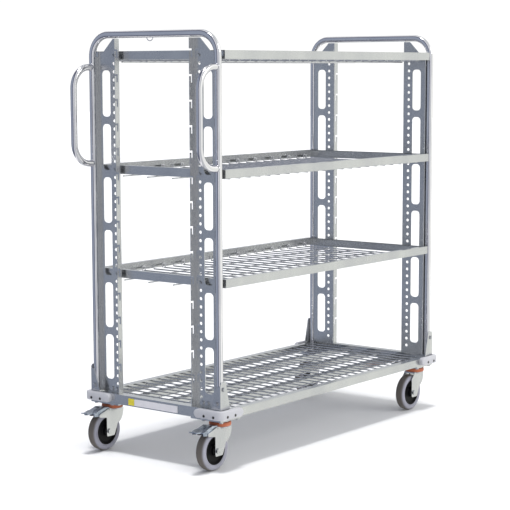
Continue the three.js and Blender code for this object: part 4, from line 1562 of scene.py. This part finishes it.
@dataclass
class Castor:
    """One swivel castor: seal, fork, axle, hub and tyre, with a pedal where it is braked."""

    shop: Workshop
    nodes: dict
    name: str
    braked: bool
    leg_wall: float = 3 * MM
    fork_half: float = 22 * MM
    cheek_inset: float = 1.6 * MM
    wheel_sides: int = 72

    def build(self) -> None:
        """Builds the castor."""
        low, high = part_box("wheel_tyre_" + self.name)
        self.axle = (low + high) / 2
        self.wheel_radius = (high.z - low.z) / 2
        self.half_width = (high.y - low.y) / 2
        seal_low, seal_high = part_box("castor_seal_" + self.name)
        self.swivel = (seal_low + seal_high) / 2
        self.seal_low, self.seal_high = seal_low, seal_high
        self.seal()
        self.fork()
        self.wheel()
        self.shop.dress(self.nodes, "castor_axle_" + self.name, Slot.WIRE)
        if self.braked:
            self.pedal()

    def upright_place(self) -> Matrix:
        """Gives the frame of a piece turned about the swivel axis."""
        return Matrix.Translation((self.swivel.x, self.swivel.y, 0))

    def wheel_place(self) -> Matrix:
        """Gives the frame of a piece turned about the wheel's axle."""
        return Matrix.Translation(self.axle) @ Matrix.Rotation(math.radians(90), 4, "X")

    def seal(self) -> None:
        """Turns the orange bearing seal."""
        radius = (self.seal_high.x - self.seal_low.x) / 2
        low, high = self.seal_low.z, self.seal_high.z
        profile = [
            (radius - 7 * MM, low),
            (radius - 1.5 * MM, low),
            (radius, low + 2 * MM),
            (radius, high - 4 * MM),
            (radius - 1 * MM, high - 1.5 * MM),
            (radius - 3.5 * MM, high),
            (radius - 7 * MM, high),
        ]
        mesh = turned("seal", profile, self.upright_place(), 48)
        node = "castor_seal_" + self.name
        self.shop.finish(node + "_ring", mesh, "castor_" + self.name, Slot.SEAL, [node])

    def fork(self) -> None:
        """Presses the fork: a round crown with a leg and a cheek down each side of the wheel."""
        node = "castor_fork_" + self.name
        crown_top = self.seal_low.z - 0.3 * MM
        back = self.swivel.x
        axle_z = self.axle.z
        trail = back - self.axle.x
        leg = [
            (-trail - 9.5 * MM, axle_z - 12 * MM),
            (-trail - 7 * MM, axle_z - 16.5 * MM),
            (-trail + 25 * MM, axle_z - 16.5 * MM),
            (-trail + 35 * MM, axle_z + 6.5 * MM),
            (5 * MM, crown_top - 41 * MM),
            (9 * MM, crown_top - 16 * MM),
            (20 * MM, crown_top - 3 * MM),
            (20 * MM, crown_top),
            (-28 * MM, crown_top),
        ]
        if self.braked:
            leg += [
                (-31 * MM, crown_top + 2.5 * MM),
                (-41 * MM, crown_top + 2.5 * MM),
                (-83 * MM, crown_top - 12 * MM),
                (-83 * MM, crown_top - 20 * MM),
                (-trail - 9.5 * MM, crown_top - 26 * MM),
            ]
        else:
            leg.append((-trail - 9.5 * MM, crown_top - 22 * MM))
        cheek = [(0, -1), (28, -1), (30, -6), (29, -20), (23, -36), (12, -48), (0, -52)]
        leg_outline = rounded_outline([(back + x, z) for x, z in leg], 3 * MM, 3)
        cheek_outline = rounded_outline([(back + x * MM, crown_top + z * MM) for x, z in cheek], 6 * MM)
        outer = self.fork_half
        meshes = []
        for name, outline, half in (
            ("leg", leg_outline, outer),
            ("cheek", cheek_outline, outer - self.cheek_inset),
        ):
            for start in (self.swivel.y - half, self.swivel.y + half - self.leg_wall):
                plate = self.shop.plate(name, outline, self.leg_wall, Lay.ALONG, start, Slot.SHEET)
                meshes.append(bevelled(plate, 0.9 * MM))
        crown = [
            (7 * MM, crown_top - 5 * MM),
            (30 * MM, crown_top - 5 * MM),
            (33 * MM, crown_top - 3.5 * MM),
            (33 * MM, crown_top - 1.2 * MM),
            (32 * MM, crown_top),
            (7 * MM, crown_top),
        ]
        disc = turned("crown", crown, self.upright_place(), 48)
        disc.materials.append(self.shop.palette.of(Slot.SHEET))
        meshes.append(disc)
        front, rear = back - (28 * MM if self.braked else 33 * MM), back + 20 * MM
        near, far = self.swivel.y - outer + 0.2 * MM, self.swivel.y + outer - 0.2 * MM
        bridge = rounded_outline([(front, near), (rear, near), (rear, far), (front, far)], 2 * MM)
        hole = Row(1, (back, self.swivel.y, 0), (0, 1, 0), 14 * MM)
        level = crown_top - 4.8 * MM
        meshes.append(self.shop.plate("bridge", bridge, 4.6 * MM, Lay.LEVEL, level, Slot.SHEET, hole))
        mesh = joined(node, meshes)
        self.shop.finish(node + "_pressing", mesh, "castor_" + self.name, Slot.SHEET, [node])

    def wheel(self) -> None:
        """Turns the hub and the tyre."""
        body = "wheel_" + self.name
        half = self.half_width
        side: list[Point2] = [
            (44.0 * MM, half - 1.5 * MM),
            (45.6 * MM, half - 0.9 * MM),
            (46.4 * MM, half - 1.5 * MM),
            (47.4 * MM, half - 0.7 * MM),
            (50.0 * MM, half - 0.1 * MM),
            (53.0 * MM, half),
            (56.0 * MM, half - 0.6 * MM),
            (58.6 * MM, half - 2.2 * MM),
            (60.6 * MM, half - 4.6 * MM),
            (61.8 * MM, half - 7.6 * MM),
            (62.35 * MM, half - 11 * MM),
            (self.wheel_radius, 0.0),
        ]
        zone = [0, 0, 0, 0, 0, 0, 0, 0.15, 0.8, 1, 1, 1]
        other = [(r, -y) for r, y in reversed(side[:-1])]
        zones = zone + zone[-2::-1]
        place = self.wheel_place()
        tyre = turned("tyre", side + other, place, self.wheel_sides, zones, 50)
        self.shop.finish("tyre_" + self.name, tyre, body, Slot.TYRE, ["wheel_tyre_" + self.name])
        face: list[Point2] = [
            (43.7 * MM, 14.2 * MM),
            (42.4 * MM, 14.9 * MM),
            (40.2 * MM, 14.6 * MM),
            (38.6 * MM, 12.0 * MM),
            (36.0 * MM, 9.4 * MM),
            (20.0 * MM, 8.2 * MM),
            (16.5 * MM, 10.5 * MM),
            (15.0 * MM, 17.4 * MM),
            (13.6 * MM, 18.3 * MM),
            (9.8 * MM, 18.3 * MM),
            (5.8 * MM, 17.6 * MM),
        ]
        back = [(r, -y) for r, y in reversed(face)]
        hub = turned("hub", face + back, place, self.wheel_sides)
        self.shop.finish("hub_" + self.name, hub, body, Slot.HUB, ["wheel_hub_" + self.name])

    def pedal(self) -> None:
        """Rounds the edges of the brake pedal, and keeps its pin."""
        node = "brake_pedal_" + self.name
        mesh = self.nodes[node].data.copy()
        mesh.materials.clear()
        mesh = bevelled(merged_flat(mesh), 0.7 * MM)
        self.shop.finish(node + "_pressing", mesh, "pedal_" + self.name, Slot.BRAKE, [node])
        self.shop.dress(self.nodes, "brake_pin_" + self.name, Slot.WIRE)


# ---- Studio ----


@dataclass
class Studio:
    """The camera, the light and the pale floor."""

    camera_place: tuple[float, float, float] = (-4.1882, -3.2020, 1.1958)
    camera_turn: float = 52.24
    camera_pitch: float = 7.33
    camera_roll: float = 0.14
    lens: float = 112.7
    shift: tuple[float, float] = (0.0, 0.04)
    floor_size: float = 60.0
    sky_stops: Sequence[tuple[float, tuple[float, float, float]]] = (
        (0.0, (0.36, 0.4, 0.49)),
        (0.07, (0.33, 0.37, 0.47)),
        (0.15, (0.13, 0.14, 0.19)),
        (0.26, (0.16, 0.175, 0.235)),
        (0.32, (1.1, 1.09, 1.13)),
        (0.41, (1.05, 1.04, 1.06)),
        (0.47, (0.34, 0.36, 0.42)),
        (0.57, (0.74, 0.76, 0.79)),
        (0.72, (0.66, 0.68, 0.68)),
        (0.86, (1.25, 1.24, 1.22)),
        (1.0, (1.04, 1.05, 1.0)),
    )

    def build(self) -> None:
        """Sets up the studio."""
        self.camera()
        self.floor()
        self.shade()
        self.world()
        self.lights()
        bpy.context.scene.view_settings.view_transform = "Standard"

    def camera(self) -> None:
        """Sets the camera."""
        data = bpy.data.cameras.new("camera")
        data.lens = self.lens
        data.sensor_width = 36
        data.shift_x, data.shift_y = self.shift
        data.clip_end = 200
        camera = bpy.data.objects.new("camera", data)
        angles = (90 - self.camera_pitch, self.camera_roll, -self.camera_turn)
        turn = Euler([math.radians(angle) for angle in angles]).to_matrix().to_4x4()
        camera.matrix_world = Matrix.Translation(self.camera_place) @ turn
        bpy.context.scene.collection.objects.link(camera)
        bpy.context.scene.camera = camera

    def floor(self) -> None:
        """Lays the floor."""
        half = self.floor_size / 2
        corners = [(-half, -half, 0), (half, -half, 0), (half, half, 0), (-half, half, 0)]
        mesh = mesh_of("floor", corners, [(0, 1, 2, 3)])
        finish = Finish("floor_paint", (0.9, 0.9, 0.9), (0.89, 0.89, 0.89), 0.0, (0.7, 0.8), 3, 1, 60, 0.0)
        mesh.materials.append(finish.build())
        floor = mesh_object("floor", mesh)
        floor.visible_glossy = False

    def shade(self) -> None:
        """Hangs a card under the deck that no ray but the lights' meets, so the deck's shadow is even."""
        low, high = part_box("deck_grid")
        corners = [(low.x, low.y), (high.x, low.y), (high.x, high.y), (low.x, high.y)]
        level = low.z - 18 * MM
        mesh = mesh_of("shade", [(x, y, level) for x, y in corners], [(0, 1, 2, 3)])
        mesh.materials.append(Finish("shade_card", (0.5, 0.5, 0.5), (0.5, 0.5, 0.5)).build())
        card = mesh_object("shade", mesh)
        for ray in ("camera", "diffuse", "glossy", "transmission", "volume_scatter"):
            setattr(card, "visible_" + ray, False)

    def world(self) -> None:
        """Lights the studio from all round, bright to the front right and dark to the back left."""
        world = bpy.data.worlds.new("studio")
        bpy.context.scene.world = world
        world.use_nodes = True
        nodes = world.node_tree.nodes
        link = world.node_tree.links.new
        sky = nodes["Background"]
        direction = nodes.new("ShaderNodeTexCoord").outputs["Generated"]
        toward = nodes.new("ShaderNodeVectorMath")
        toward.operation = "DOT_PRODUCT"
        toward.inputs[1].default_value = (0.4, -0.3, -0.1)
        link(direction, toward.inputs[0])
        centred = nodes.new("ShaderNodeMath")
        centred.operation = "ADD"
        centred.inputs[1].default_value = 0.5
        link(toward.outputs["Value"], centred.inputs[0])
        ramp = nodes.new("ShaderNodeValToRGB")
        stops = ramp.color_ramp.elements
        for _ in range(len(self.sky_stops) - 2):
            stops.new(0.5)
        for stop, (position, colour) in zip(stops, self.sky_stops):
            stop.position = position
            stop.color = (*colour, 1)
        link(centred.outputs["Value"], ramp.inputs["Fac"])
        seen = nodes.new("ShaderNodeLightPath").outputs["Is Camera Ray"]
        mix = nodes.new("ShaderNodeMix")
        mix.data_type = "RGBA"
        link(seen, mix.inputs["Factor"])
        link(ramp.outputs["Color"], mix.inputs["A"])
        mix.inputs["B"].default_value = (1.05, 1.05, 1.05, 1)
        link(mix.outputs["Result"], sky.inputs["Color"])

    def lights(self) -> None:
        """Hangs a soft sun high over the trolley and a weaker one in front of it."""
        for name, toward, angle, power in (
            ("top_sun", (0.05, 0.02, -1.0), 12.0, 2.3),
            ("front_sun", (-0.35, 0.8, -0.45), 30.0, 0.5),
        ):
            data = bpy.data.lights.new(name, "SUN")
            data.angle = math.radians(angle)
            data.energy = power
            lamp = bpy.data.objects.new(name, data)
            lamp.matrix_world = Vector(toward).to_track_quat("-Z", "Y").to_matrix().to_4x4()
            bpy.context.scene.collection.objects.link(lamp)


# ---- Build ----


def main() -> None:
    """Builds the trolley's looks round its frame."""
    logging.basicConfig(level=logging.INFO, format="%(name)s: %(message)s")
    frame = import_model()
    nodes = frame["nodes"]
    Studio().build()
    shop = Workshop()
    TubeWork(shop).build()
    for name, along, across in corner_names():
        Upright(shop, name, along, across).build()
    BaseFrame(shop, nodes).build()
    for name in ("top", "upper", "lower"):
        Shelf(shop, name).build()
    for name, along, _ in corner_names():
        Castor(shop, nodes, name, braked=along < 0).build()


if __name__ == "__main__":
    main()
